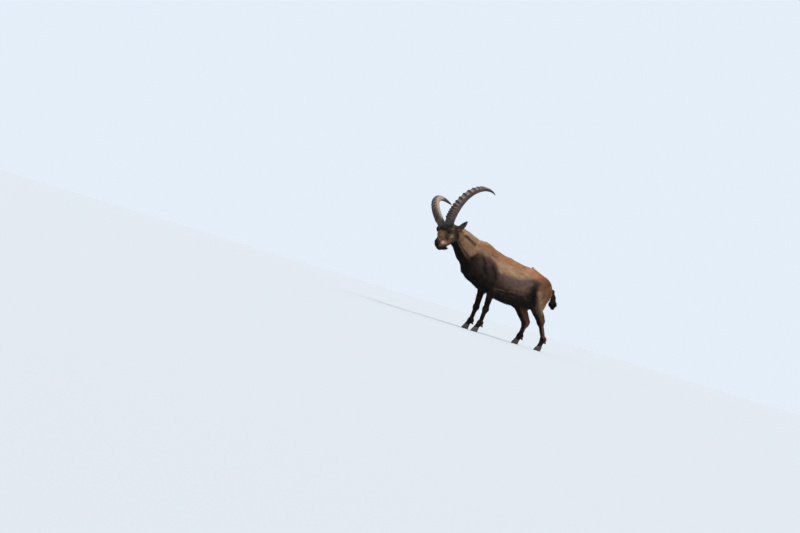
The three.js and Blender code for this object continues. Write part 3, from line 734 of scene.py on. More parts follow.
def coat_colour(p, r):
    w = r["weight"]
    c = w["trunk"][:, None] * body_colour(p, r)
    c += w["neck"][:, None] * neck_colour(p, r)
    c += w["head"][:, None] * head_colour(p, r)
    c += r["leg"][:, None] * leg_colour(p, r)
    c += w["tail"][:, None] * mix(BLACK, RUST, smooth(624, 640, p[:, 2]) * 0.8)
    # A pale ridge runs down the black of the throat, and the poll is a dark red brown
    ridge = stroke(p, [(-600, 892), (-606, 816), (-526, 742), (-430, 676)], 5.5, 0.8)
    ridge = ridge * mix(0.4, 1, smooth(-430, -520, p[:, 0]))
    c = mix(c, PINK, ridge * (1 - w["head"]) * (1 - r["leg"]) * smooth(20, 45, np.abs(p[:, 1])) * 0.7)
    h = r["head_place"]
    poll = spot(h, (-26, 40, -14), (40, 40, 38))
    poll = np.maximum(poll, smooth(1.2, 0.6, far_from(h, (-14, 66, -68), (22, 26, 24))))
    return mix(c, POLL, poll * 0.9)


# Materials
def material(name, roughness, scale, vary=0.25, bump=None, **inputs):
    """A principled material whose colour is the mesh's own, varied and roughened by noise"""
    made = bpy.data.materials.new(name)
    made.use_nodes = True
    nodes, links = made.node_tree.nodes, made.node_tree.links
    shader = nodes["Principled BSDF"]
    shader.inputs["Roughness"].default_value = roughness
    for key, value in inputs.items():
        shader.inputs[key.replace("_", " ")].default_value = value
    colour = nodes.new("ShaderNodeAttribute")
    colour.attribute_name = "Coat"
    place = nodes.new("ShaderNodeTexCoord")
    grain = nodes.new("ShaderNodeTexNoise")
    grain.inputs["Scale"].default_value = scale
    grain.inputs["Detail"].default_value = 4
    links.new(place.outputs["Object"], grain.inputs["Vector"])
    ramp = nodes.new("ShaderNodeMapRange")
    ramp.inputs["From Min"].default_value = 0.25
    ramp.inputs["From Max"].default_value = 0.75
    ramp.inputs["To Min"].default_value = 1 - vary
    ramp.inputs["To Max"].default_value = 1 + vary
    links.new(grain.outputs["Fac"], ramp.inputs["Value"])
    product = nodes.new("ShaderNodeVectorMath")
    product.operation = "SCALE"
    links.new(colour.outputs["Color"], product.inputs[0])
    links.new(ramp.outputs["Result"], product.inputs["Scale"])
    links.new(product.outputs["Vector"], shader.inputs["Base Color"])
    if bump:
        lift = nodes.new("ShaderNodeBump")
        lift.inputs["Strength"].default_value = 0.6
        lift.inputs["Distance"].default_value = bump
        links.new(grain.outputs["Fac"], lift.inputs["Height"])
        links.new(lift.outputs["Normal"], shader.inputs["Normal"])
    return made


WET = dict(Coat_Weight=0.3, Coat_Roughness=0.03)
skin_material = material("skin", 0.8, 420, bump=0.0012, Specular_IOR_Level=0.12)
hair_material = material("hair", 0.65, 300, 0.2, Specular_IOR_Level=0.16)
horn_material = material("horn", 0.58, 260, bump=0.0008, Specular_IOR_Level=0.3)
hoof_material = material("hoof", 0.5, 300, 0.2, bump=0.0005, Specular_IOR_Level=0.3)
eye_material = material("eye", 0.3, 900, 0.06, Specular_IOR_Level=0.1, **WET)
lid_material = material("lid", 0.35, 900, 0.15, bump=0.0003)


def make_mesh(name, points, faces, colours, surface):
    """A piece from points in design millimetres and faces that all have the same number of corners"""
    corners = faces.shape[1]
    mesh = bpy.data.meshes.new(name)
    mesh.vertices.add(len(points))
    mesh.vertices.foreach_set("co", ((points + SHIFT) / 1000).astype(np.float32).ravel())
    mesh.loops.add(faces.size)
    mesh.loops.foreach_set("vertex_index", faces.astype(np.int32).ravel())
    mesh.polygons.add(len(faces))
    mesh.polygons.foreach_set("loop_start", np.arange(0, faces.size, corners, dtype=np.int32))
    mesh.polygons.foreach_set("use_smooth", np.ones(len(faces), bool))
    mesh.update(calc_edges=True)
    paint(mesh, colours)
    mesh.materials.append(surface)
    piece = bpy.data.objects.new(name, mesh)
    bpy.context.scene.collection.objects.link(piece)
    return piece


def paint(mesh, colours):
    layer = mesh.color_attributes.new("Coat", "FLOAT_COLOR", "POINT")
    rgba = np.ones((len(colours), 4), np.float32)
    rgba[:, :3] = np.clip(colours, 0.002, 0.95)
    layer.data.foreach_set("color", rgba.ravel())


def lay_out(mesh, uv):
    mesh.uv_layers.new(name="OFBake").data.foreach_set("uv", uv.astype(np.float32).ravel())


# The skin: a net of squares round the body's shape, drawn in by the depth of the coat.
# The value is found on every COARSE-th point, and on all points near the surface
NET_STEP = 7.0
COARSE = 4
NET_LOW = np.array([-960.0, -330, 20])
NET_HIGH = np.array([570.0, 190, 1040])


def surface_net(value, low, high, step):
    """Points and squares of the surface where value is zero"""
    counts = (np.ceil((high - low) / (step * COARSE)).astype(int)) * COARSE + 1
    axes = [low[k] + step * np.arange(counts[k]) for k in range(3)]
    rough = np.stack(np.meshgrid(*(a[::COARSE] for a in axes), indexing="ij"), -1)
    rough_value = value(rough.reshape(-1, 3)).reshape(rough.shape[:3])
    index = [np.minimum((np.arange(n) + COARSE // 2) // COARSE, (n - 1) // COARSE) for n in counts]
    field = rough_value[np.ix_(*index)]
    near = np.abs(field) < step * COARSE * 1.6
    spots = np.stack(np.nonzero(near), 1)
    places = np.stack([axes[k][spots[:, k]] for k in range(3)], 1)
    field[near] = value(places)
    cells, hits, squares = [], [], []
    strides = np.array([counts[1] * counts[2], counts[2], 1])
    for axis in range(3):
        a = field[tuple(slice(0, -1) if k == axis else slice(None) for k in range(3))]
        b = field[tuple(slice(1, None) if k == axis else slice(None) for k in range(3))]
        at = np.stack(np.nonzero((a < 0) != (b < 0)), 1)
        va, vb = a[tuple(at.T)], b[tuple(at.T)]
        place = at.astype(float)
        place[:, axis] += va / (va - vb)
        other = [k for k in range(3) if k != axis]
        around = []
        for du, dv in ((0, 0), (-1, 0), (-1, -1), (0, -1)):
            cell = at.copy()
            cell[:, other[0]] += du
            cell[:, other[1]] += dv
            around.append(cell @ strides)
            cells.append(cell @ strides)
            hits.append(place)
        square = np.stack(around, 1)
        turned = (va < 0) == (axis == 1)
        square[turned] = square[turned][:, ::-1]
        squares.append(square)
    cells, hits = np.concatenate(cells), np.concatenate(hits)
    names, inverse = np.unique(cells, return_inverse=True)
    number = np.bincount(inverse)
    points = np.stack([np.bincount(inverse, hits[:, k]) / number for k in range(3)], 1)
    faces = np.searchsorted(names, np.concatenate(squares))
    return low + points * step, faces


def slope_of(value, p):
    """How the value rises along X, Y and Z"""
    return np.stack([value(p + axis) - value(p - axis) for axis in np.eye(3)], 1) / 2


LONGEST_MOVE = 12


def settle(points, value, rounds):
    """Moves points onto the surface where value is zero"""
    for _ in range(rounds):
        slope = slope_of(value, points)
        size = np.maximum(dot(slope, slope), 0.15)
        move = slope * (value(points) / size)[:, None]
        length = np.linalg.norm(move, axis=1, keepdims=True)
        points = points - move * np.minimum(1, LONGEST_MOVE / np.maximum(length, 1e-9))
    return points


def skin_value(p):
    r = regions(p)
    return body_value(p, r["values"]) + coat_depth(r) - forms(p) * (1 - r["head"]) * (1 - 0.7 * r["low_leg"])


points, faces = surface_net(body_value, NET_LOW, NET_HIGH, NET_STEP)
points = settle(points, skin_value, 3)


def cut_finer(points, faces, tests):
    """Once for each test, squares whose corners pass it are cut into four"""
    mesh = bpy.data.meshes.new("cutting")
    mesh.from_pydata(points, [], faces.tolist())
    net = bmesh.new()
    net.from_mesh(mesh)
    for test in tests:
        place = np.array([v.co for v in net.verts])
        chosen = test(place)
        edges = [e for e in net.edges if chosen[e.verts[0].index] and chosen[e.verts[1].index]]
        bmesh.ops.subdivide_edges(net, edges=edges, cuts=1, use_grid_fill=True)
        net.verts.index_update()
    bmesh.ops.triangulate(net, faces=[f for f in net.faces if len(f.verts) > 4])
    points = np.array([v.co for v in net.verts])
    net.to_mesh(mesh)
    net.free()
    return points, mesh


def on_head(p):
    return to_head(p)[:, 0] > -30


def on_face(p):
    h = to_head(p)
    return (h[:, 0] > 60) & (np.abs(h[:, 1]) < 90) & (h[:, 2] > -190)


points, skin_mesh = cut_finer(points, faces, [on_head, on_face])
headed = to_head(points)[:, 0] > -60
points[headed] = settle(points[headed], skin_value, 2)


# Features of the face, in the head's directions
def eye_axes():
    """Outwards from the eye, towards the nose, and up, for the left eye"""
    out = unit(np.array([0.36, 0.92, 0.12]))
    fore = np.array([1.0, 0, -0.2])
    fore = unit(fore - (fore @ out) * out)
    return out, fore, np.cross(fore, out)


EYE_OUT, EYE_FORE, EYE_UP = eye_axes()
LID_THICK = 2.6
# Half the opening of the lids, in degrees round the eye: along it, above and below its middle
OPEN_LONG = 47.0
OPEN_HIGH = 25.0
OPEN_LOW = 21.0


def eye_opening(h):
    """0 at the middle of the lids' opening and 1 at its edge, with the distance and way from the eye"""
    away = mirrored(h) - EYE_AT
    way = unit(away)
    out, fore, up = way @ EYE_OUT, way @ EYE_FORE, way @ EYE_UP
    along = np.degrees(np.arctan2(fore, out))
    lift = np.degrees(np.arcsin(np.clip(up, -1, 1)))
    tall = np.where(lift > 0, OPEN_HIGH, OPEN_LOW)
    opening = np.hypot(along / OPEN_LONG, lift / tall)
    return np.where(out > 0.1, opening, 9), np.linalg.norm(away, axis=1), way


def groove(h, spots, width):
    """1 on a line through the head, on both sides"""
    return np.exp(-((line_distance(mirrored(h), spots) / width) ** 2))


MOUTH = [(292, 0, -142), (285, 13, -148), (264, 22, -154), (236, 29, -151), (202, 34, -140)]
NOSTRIL = [(291, 9, -101), (283, 19, -97), (272, 23, -102)]
TEAR = [(122, 62, -48), (138, 50, -58)]


def shape_face(points):
    """The points with the mouth, nostrils and lids pressed in, and how dark each is painted by that: painted
    shade in the grooves and tucks
    """
    h = to_head(points)
    near = (h[:, 0] > 20) & (np.abs(h[:, 1]) < 110)
    q = h[near]
    normals = unit(slope_of(body_value, points[near])) @ HEAD.T
    mouth = groove(q, MOUTH, 3.2)
    lips = groove(q, np.add(MOUTH, [0, 0, 8]), 7) + groove(q, np.add(MOUTH, [0, 0, -8]), 6)
    nostril = groove(q, NOSTRIL, 4.6)
    rim = groove(q, NOSTRIL, 10) - nostril
    tear = groove(q, TEAR, 5)
    split = np.exp(-((q[:, 1] / 2.2) ** 2)) * smooth(268, 278, q[:, 0]) * smooth(-106, -114, q[:, 2])
    q = q + normals * (1.2 * lips - 4.6 * mouth - 8.5 * nostril + 1.6 * rim - 2.4 * tear - 2 * split)[:, None]
    # Each groove is painted darker the deeper it is pressed in: painted shade
    dark = np.maximum.reduce([mouth, nostril, 0.8 * tear, 0.8 * split])
    opening, far, way = eye_opening(q)
    close = smooth(EYE_RADIUS + 17, EYE_RADIUS + 7, far) * (opening < 5)
    lid = EYE_RADIUS + LID_THICK + 1.6 * np.exp(-(((opening - 1.3) / 0.25) ** 2))
    lid = lid - 1.5 * np.exp(-(((opening - 1.9) / 0.25) ** 2))
    target = mix(EYE_RADIUS - 5, lid, smooth(0.84, 1.12, opening))
    pull = close * smooth(2.4, 1.6, opening)
    side = np.sign(q[:, 1:2])
    flip = np.concatenate([np.ones_like(side), side, np.ones_like(side)], 1)
    middle = EYE_AT * flip
    wanted = middle + way * flip * target[:, None]
    q = q + (wanted - q) * pull[:, None]
    # The skin drawn in under the lids is painted dark as well: painted shade
    dark = np.maximum(dark, pull * smooth(1.35, 1.1, opening))
    points = points.copy()
    points[near] = from_head(q)
    shade = np.zeros(len(points))
    shade[near] = dark
    return points, shade


points, face_groove_shade = shape_face(points)
skin_mesh.vertices.foreach_set("co", ((points + SHIFT) / 1000).astype(np.float32).ravel())
skin_mesh.update()


# An unwrap of the skin: a chart for each length of the body, turned round its own middle line
CHARTS = {
    "trunk": ((0.01, 0.01), (0.60, 0.60)),
    "neck": ((0.63, 0.01), (0.20, 0.34)),
    "head": ((0.63, 0.38), (0.34, 0.24)),
    "tail": ((0.86, 0.01), (0.11, 0.16)),
    "foreleg_left": ((0.01, 0.65), (0.22, 0.33)),
    "foreleg_right": ((0.25, 0.65), (0.22, 0.33)),
    "hindleg_left": ((0.49, 0.65), (0.24, 0.33)),
    "hindleg_right": ((0.75, 0.65), (0.24, 0.33)),
}
CHART_NAMES = list(CHARTS)
TAIL_MIDDLE = dict(y=0, top=(440, 625), bend=(470, 610), mid=(480, 606), low=(508, 560), foot=(526, 456))


def chart_places(p, name):
    """Turn round the middle line, in radians, and place along it, from 0 to 1"""
    if name == "trunk":
        _, back, under, _ = barrel_edges(p)
        return np.arctan2(p[:, 1], (back + under) / 2 - p[:, 2]), (p[:, 0] + 500) / 1010
    if name == "head":
        h = to_head(p)
        middle = np.interp(h[:, 0], [0, 300], [-60, -116])
        return np.arctan2(h[:, 1], -(h[:, 2] - middle)), (h[:, 0] + 80) / 385
    if name == "neck":
        base, line = np.array([-400.0, 0, 730]), np.array(NECK_TOP) - [-400, 0, 730]
        t = (p - base) @ line / (line @ line)
        across = p - base - t[:, None] * line
        return np.arctan2(across[:, 1], across[:, 0] * line[2] - across[:, 2] * line[0]), (t + 0.4) / 1.9
    leg = LEGS.get(name, TAIL_MIDDLE)
    low_end, high_end = (430, 650) if name == "tail" else (0, 700)
    turn = np.arctan2(p[:, 1] - leg["y"], p[:, 0] - leg_middle(leg, p[:, 2]))
    return turn, (p[:, 2] - low_end) / (high_end - low_end)


def unwrap(p, chart, around=None):
    """Map places for points, each on its own chart, kept on the same side of the seam as around"""
    uv = np.zeros((len(p), 2))
    for number, name in enumerate(CHART_NAMES):
        mine = chart == number
        if not mine.any():
            continue
        turn, along = chart_places(p[mine], name)
        if around is not None:
            centre, _ = chart_places(around[mine], name)
            turn = centre + (turn - centre + math.pi) % (2 * math.pi) - math.pi
        (u0, v0), (wide, tall) = CHARTS[name]
        uv[mine, 0] = u0 + wide * (turn / (2 * math.pi) + 0.5)
        uv[mine, 1] = v0 + tall * np.clip(along, 0, 1)
    return uv


def chart_of(p):
    values = part_values(p)
    return np.argmin(np.stack([values[name] for name in CHART_NAMES]), axis=0)


# Ears: a leaf, cupped to the front, drawn in by the depth of its hair
EAR_RINGS = 30
EAR_SIDES = 36


def ear_points(side, shrink):
    way = unit(np.array(EAR_WAY, float))
    open_ = np.array([0.8, 0.2, -0.3])
    open_ = unit(open_ - (open_ @ way) * way)
    edge = np.cross(way, open_)
    rings = []
    for t in np.linspace(0, 1, EAR_RINGS):
        wide = EAR_WIDTH * math.sin(math.pi * mix(0.12, 0.94, t) ** 1.1) + 2 - shrink
        middle = np.array(EAR_ROOT) + way * mix(-22, EAR_LENGTH - 5, t) - open_ * 14 * t * t
        angle = np.linspace(0, 2 * math.pi, EAR_SIDES, endpoint=False)
        across = np.cos(angle)
        cup = 0.62 * wide * across**2 + 1.2 * np.cos(3 * math.pi * across) * (1 - t)
        thick = (EAR_THICK - shrink * 0.6) * (1 - 0.45 * t)
        rings.append(middle + np.outer(wide * across, edge) + np.outer(cup + thick * np.sin(angle), open_))
    rings = np.array(rings)
    tip = np.array(EAR_ROOT) + way * (EAR_LENGTH - shrink) - open_ * 14
    start = rings[0].mean(0)
    flip = np.array([1, side, 1])
    return rings * flip, start * flip, tip * flip


def ring_faces(rings, sides, flip):
    """Triangles of a closed piece: a start point, its rings, an end point"""
    at = lambda ring, j: 1 + ring * sides + j % sides
    j = np.arange(sides)
    faces = [np.stack([0 * j, at(0, j + 1), at(0, j)], 1)]
    for ring in range(rings - 1):
        a, b, c, d = at(ring, j), at(ring, j + 1), at(ring + 1, j), at(ring + 1, j + 1)
        faces += [np.stack([a, b, d], 1), np.stack([a, d, c], 1)]
    last = 1 + rings * sides
    faces.append(np.stack([0 * j + last, at(rings - 1, j), at(rings - 1, j + 1)], 1))
    faces = np.concatenate(faces)
    return faces[:, ::-1] if flip else faces


def outward(points, faces):
    """The faces turned so that they point out"""
    a, b, c = (points[faces[:, k]] for k in range(3))
    return faces if dot(a, np.cross(b, c)).sum() > 0 else faces[:, ::-1]


def ring_piece(rings, start, end):
    count, sides = rings.shape[:2]
    points = np.concatenate([[start], rings.reshape(-1, 3), [end]])
    return points, outward(points - points.mean(0), ring_faces(count, sides, False))


EAR_BACK = linear((62, 46, 38))
EAR_RIM = linear((34, 28, 27))
EAR_CORNERS = {"left": np.array([0.9, 0.33]), "right": np.array([0.9, 0.25])}
EAR_SCALE = 0.0004


def ear_colour(h, side):
    """The colour changes along the ear, from its root to its tip"""
    way = unit(np.array(EAR_WAY, float))
    t = (h * np.array([1, side, 1]) - EAR_ROOT) @ way / EAR_LENGTH
    c = mix(EAR_BACK, EAR_RIM, smooth(0.35, 0.9, t))
    return mix(c, BROWN, smooth(0.2, 0.05, t))


def ear_map(p, middle, word):
    """Map places for points of an ear"""
    return EAR_CORNERS[word] + ((p - middle) @ HEAD.T)[:, 1:] * EAR_SCALE


ears = {}
for word, side in SIDES:
    rings, start, tip = ear_points(side, 1.5)
    ear_net, ear_faces = ring_piece(from_head(rings), from_head(start), from_head(tip))
    ears[word] = (ear_net, ear_faces, ear_colour(to_head(ear_net), side))


# One skin: the body's net and the ears in one piece, painted darker than the hair over it as painted shade
# under the coat
SKIN_SHADE = 0.8


def finish_skin():
    colours = coat_colour(points, regions(points)) * SKIN_SHADE
    # The grooves of the face take the nose's colour: painted shade
    paint(skin_mesh, mix(colours, NOSE, face_groove_shade * 0.9))
    corners = np.zeros(len(skin_mesh.loops), np.int32)
    skin_mesh.loops.foreach_get("vertex_index", corners)
    starts = np.zeros(len(skin_mesh.polygons), np.int32)
    totals = np.zeros(len(skin_mesh.polygons), np.int32)
    skin_mesh.polygons.foreach_get("loop_start", starts)
    skin_mesh.polygons.foreach_get("loop_total", totals)
    face_of = np.repeat(np.arange(len(starts)), totals)
    centres = np.stack([np.bincount(face_of, points[corners, k]) / totals for k in range(3)], 1)
    chart = chart_of(centres)
    lay_out(skin_mesh, unwrap(points[corners], chart[face_of], centres[face_of]))
    skin_mesh.polygons.foreach_set("use_smooth", np.ones(len(skin_mesh.polygons), bool))
    skin_mesh.name = "skin"
    skin_mesh.materials.append(skin_material)
    skin = bpy.data.objects.new("skin", skin_mesh)
    bpy.context.scene.collection.objects.link(skin)
    parts = [skin]
    for word, (net, faces, colours) in ears.items():
        ear = make_mesh("ear_skin_" + word, net, faces, colours * SKIN_SHADE, skin_material)
        lay_out(ear.data, ear_map(net[faces.ravel()], net.mean(0), word))
        parts.append(ear)
    with bpy.context.temp_override(active_object=skin, selected_editable_objects=parts):
        bpy.ops.object.join()
    flesh = [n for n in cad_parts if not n.startswith(("horn", "eye", "claw", "dewclaw"))]
    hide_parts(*flesh)
    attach(skin, "root")


# The hair grows from the body's net, which is noted before the ears join it
body_normals = np.zeros(len(points) * 3, np.float32)
skin_mesh.vertices.foreach_get("normal", body_normals)
body_normals = body_normals.reshape(-1, 3)
skin_mesh.calc_loop_triangles()
body_triangles = np.zeros(len(skin_mesh.loop_triangles) * 3, np.int32)
skin_mesh.loop_triangles.foreach_get("vertices", body_triangles)
body_triangles = body_triangles.reshape(-1, 3)
finish_skin()


# Tufts: the most triangles in one piece, the size of a tuft in the map, how deep its root is set
# in the skin, and how its width falls off towards the tip
PIECE_TRIANGLES = 190000
PATCH = 0.003
ROOT_DEPTH = 1.2
TAPER = 1.6
DOWN = np.array([0, 0, -1.0])


def scatter(vertices, normals, triangles, density, count):
    """Roots spread over the triangles, more where density is higher"""
    a, b, c = (vertices[triangles[:, k]] for k in range(3))
    area = np.linalg.norm(np.cross(b - a, c - a), axis=1) / 2
    share = np.cumsum(area * density(vertices)[triangles].mean(1))
    picks = (np.arange(count) + rng.random(count)) / count * share[-1]
    chosen = np.minimum(np.searchsorted(share, picks), len(share) - 1)
    u, v = rng.random(count), rng.random(count)
    over = u + v > 1
    u[over], v[over] = 1 - u[over], 1 - v[over]
    t = triangles[chosen]
    shares = np.stack([1 - u - v, u, v], 1)
    weigh = lambda data: sum(data[t[:, k]] * shares[:, k : k + 1] for k in range(3))
    return weigh(vertices), unit(weigh(normals))


def tufts(name, roots, normals, way, length, width, lift, colour, uv, levels, droop=0.0, tip=1.15):
    """Locks of hair: three-sided, tapered, lying along the skin, each rising to lift above it"""
    order = np.argsort(roots[:, 0], kind="stable")
    across = unit(np.cross(way, normals))
    rise = np.clip(lift / length, 0.02, 0.9)
    shares = np.arange(levels) / levels
    rings = []
    heading = unit(way + normals * rise[:, None] * (1.5 if levels > 1 else 1.0))
    here = roots - normals * ROOT_DEPTH
    for share in shares:
        thin = 1 - share**TAPER
        half = (width * 0.5 * thin)[:, None] * across
        ridge = (width * 0.42 * thin)[:, None] * normals
        rings.append(np.stack([here - half, here + half, here + ridge], 1))
        here = here + heading * (length / levels)[:, None]
        heading = unit(heading + droop * DOWN / levels - normals * (rise / levels)[:, None])
    vertices = np.concatenate([np.concatenate(rings, 1), here[:, None]], 1)
    per = 3 * levels + 1
    faces = []
    for k in range(levels - 1):
        for i in range(3):
            a, b = 3 * k + i, 3 * k + (i + 1) % 3
            faces += [(a, b, b + 3), (a, b + 3, a + 3)]
    for i in range(3):
        faces.append((3 * levels - 3 + i, 3 * levels - 3 + (i + 1) % 3, per - 1))
    faces = np.array(faces)[:, ::-1]
    # Each lock is painted darker at its root and lighter at its tip: painted shade deep in the coat and
    # painted light on the tips
    shade = np.concatenate([np.repeat(mix(0.72, 1.0, shares), 3), [tip]])
    offsets = np.concatenate([np.array([(-0.5, 0), (0.5, 0), (0, 0.3)]) + [0, s] for s in shares] + [[(0, 1)]])
    most = PIECE_TRIANGLES // len(faces)
    for number, begin in enumerate(range(0, len(roots), most)):
        take = order[begin : begin + most]
        net = vertices[take].reshape(-1, 3)
        triangles = (faces[None] + per * np.arange(len(take))[:, None, None]).reshape(-1, 3)
        colours = (colour[take][:, None] * shade[None, :, None]).reshape(-1, 3)
        piece = make_mesh(f"{name}_{number + 1}", net, triangles, colours, hair_material)
        lay_out(piece.data, uv[take][:, None] + PATCH * offsets[faces.ravel()][None])
        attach(piece, "root")


def coat_patch(name, density, count, wide, levels, stretch=1.0, droop=0.0, spread=0.25):
    """Tufts over the body where density asks for them"""
    roots, normals = scatter(points, body_normals, body_triangles, density, count)
    r = regions(roots)
    way = flow(roots, normals, r)
    turn = rng.normal(0, spread, count)
    across = np.cross(normals, way)
    way = unit(way * np.cos(turn)[:, None] + across * np.sin(turn)[:, None])
    length = coat_length(r) * stretch * rng.uniform(0.75, 1.2, count)
    lift = coat_depth(r) * rng.uniform(0.55, 1.15, count)
    clump = 1 + 0.16 * noise(roots * [0.5, 1, 1], 15, 51) + rng.normal(0, 0.1, count)
    colour = coat_colour(roots, r) * clump[:, None]
    uv = unwrap(roots, chart_of(roots))
    width = wide(r) * rng.uniform(0.8, 1.25, count)
    tufts(name, roots, normals, way, length, width, lift, colour, uv, levels, droop)


def eye_clear(p):
    """0 on the eyes, the nose's bare end and in the mouth, 1 elsewhere"""
    h = to_head(p)
    opening, far, _ = eye_opening(h)
    bare = smooth(EYE_RADIUS + 10, EYE_RADIUS + 3, far) * smooth(1.9, 1.3, opening)
    nose = smooth(266, 274, h[:, 0] + 0.25 * (h[:, 2] + 102)) * smooth(-132, -122, h[:, 2])
    return (1 - bare) * (1 - nose)


def fine_density(p):
    r = regions(p)
    on = np.clip(r["head"] * 1.5 * (1 + 0.8 * r["muzzle"]) + 0.9 * r["low_leg"], 0, 2.4)
    return on * eye_clear(p) * (p[:, 2] > 44)


def body_density(p):
    r = regions(p)
    return np.clip(1 - r["head"] * 1.2 - r["low_leg"] * 1.1, 0, 1) * (1 + 0.3 * r["neck"])


def long_density(p):
    r = regions(p)
    fringe = 0.45 * r["crest"] + r["throat"] * 0.8 + r["chest"] + r["belly"]
    return np.clip(fringe + 0.6 * r["back"] + 6 * r["tail"], 0, 5)


coat_patch("coat_fine", fine_density, 90000, lambda r: 2.0 - 0.7 * r["muzzle"], 1)
coat_patch("coat_body", body_density, 230000, lambda r: 3.0 - 0.6 * r["leg"], 1)
coat_patch("coat_long", long_density, 16000, lambda r: 3.4, 3, 1.15, 0.35, 0.3)


def ear_hair(word, side):
    """Short hair on an ear, lying towards its tip"""
    count = 3600
    net, faces, _ = ears[word]
    a, b, c = (net[faces[:, k]] for k in range(3))
    net_normals = np.zeros_like(net)
    for k in range(3):
        np.add.at(net_normals, faces[:, k], np.cross(b - a, c - a))
    roots, normals = scatter(net, unit(net_normals), faces, lambda p: np.ones(len(p)), count)
    tipward = unit(np.array(EAR_WAY) * [1, side, 1]) @ HEAD
    way = tipward[None] - (normals @ tipward)[:, None] * normals
    way = unit(way + rng.normal(0, 0.2, (count, 3)))
    colour = ear_colour(to_head(roots), side) * rng.uniform(0.8, 1.2, (count, 1))
    uv = ear_map(roots, net.mean(0), word)
    length = rng.uniform(7, 12, count)
    tufts("coat_ear_" + word, roots, normals, way, length, np.full(count, 1.6), length * 0.12, colour, uv, 1)


for word, side in SIDES:
    ear_hair(word, side)


# The beard, a short tuft under the chin
def beard():
    count = 1500
    t = rng.random(count)
    angle = rng.uniform(0, 2 * math.pi, count)
    radius = mix(15, 10, t) * np.sqrt(rng.random(count))
    h = np.array([252.0, 0, -170]) + np.outer(t, [-64, 0, -4])
    h = h + np.stack([0 * t, radius * np.cos(angle), 0.6 * radius * np.sin(angle) + 6], 1)
    roots = from_head(h)
    hang = np.stack([mix(-0.25, -1.0, t), 0.12 * np.cos(angle), mix(-0.9, -0.8, t)], 1)
    down = unit((hang + rng.normal(0, 0.13, (count, 3))) @ HEAD)
    normals = np.stack([0 * t, np.cos(angle), np.sin(angle)], 1) @ HEAD
    normals = unit(normals - dot(normals, down)[:, None] * down)
    length = mix(16, 56, t) * rng.uniform(0.7, 1.1, count)
    colour = BLACK * rng.uniform(0.8, 1.6, (count, 1))
    uv = unwrap(roots, np.full(count, CHART_NAMES.index("head")))
    tufts("coat_beard", roots, normals, down, length, np.full(count, 3.0), length * 0.06, colour, uv, 3, 0.2)


beard()


# Horns: the rings and sides of their nets, and the steps in which their middle line is worked out
HORN_RINGS = 420
HORN_SIDES = 64
HORN_STEPS = 1200
HORN_DARK = linear((44, 36, 33))
HORN_BASE = linear((66, 53, 46))
HORN_WARM = linear((84, 56, 46))
HORN_GREY = linear((116, 104, 98))
# The pale colour serves for streaks, and for painted light on each horn's inner flank
HORN_PALE = linear((148, 126, 110))


def horn_line(q):
    """Middle line, its direction, and the front's and flank's directions, in the head's directions"""
    splay, sweep = np.radians([HORN_SPLAY, HORN_SWEEP])
    rise = np.array([0, math.sin(splay), math.cos(splay)])
    back = np.array([-math.cos(sweep), math.sin(sweep), 0])
    back = unit(back - (back @ rise) * rise)
    fine = np.linspace(0, 1, HORN_STEPS + 1)
    a, b, c = np.radians(HORN_BEND)
    turn = lambda s: np.radians(HORN_START) + a * s + b * s * s / 2 + c * s**3 / 3
    way = lambda s: np.outer(np.cos(turn(s)), rise) + np.outer(np.sin(turn(s)), back)
    steps = way((fine[1:] + fine[:-1]) / 2) * HORN_LENGTH / HORN_STEPS
    line = np.array(HORN_ROOT) + np.concatenate([np.zeros((1, 3)), np.cumsum(steps, 0)])
    inside = np.clip(q, 0, 1)
    middle = np.stack([np.interp(inside, fine, line[:, k]) for k in range(3)], 1)
    tangent = way(inside)
    middle = middle + tangent * (np.minimum(q, 0) * HORN_LENGTH)[:, None]
    flank = unit(np.cross(rise, back))
    return middle, unit(np.cross(tangent, flank)), flank


# Gaps between the knobs along the horn, small at the root and wide above, and how far a knob
# slopes to either side of its crest
KNOB_STEPS = [0.034, 0.036, 0.036, 0.038, 0.042, 0.052, 0.064, 0.072, 0.074, 0.074, 0.066, 0.05, 0.036]
KNOB_ABOVE = 8.5
KNOB_BELOW = 13


def knob_height(q):
    """How much of a knob stands at q along the horn, 0 in the gaps and 1 on the crests"""
    peaks = KNOB_FIRST + np.concatenate([[0], np.cumsum(KNOB_STEPS)])
    height = np.zeros(len(q))
    for number, peak in enumerate(peaks):
        away = (q - peak) * HORN_LENGTH
        away = np.where(away > 0, away / KNOB_ABOVE, away / KNOB_BELOW)
        size = 1 - 0.55 * (number / len(peaks)) ** 3
        height = np.maximum(height, size * np.exp(-(np.abs(away) ** 2.4)))
    return height


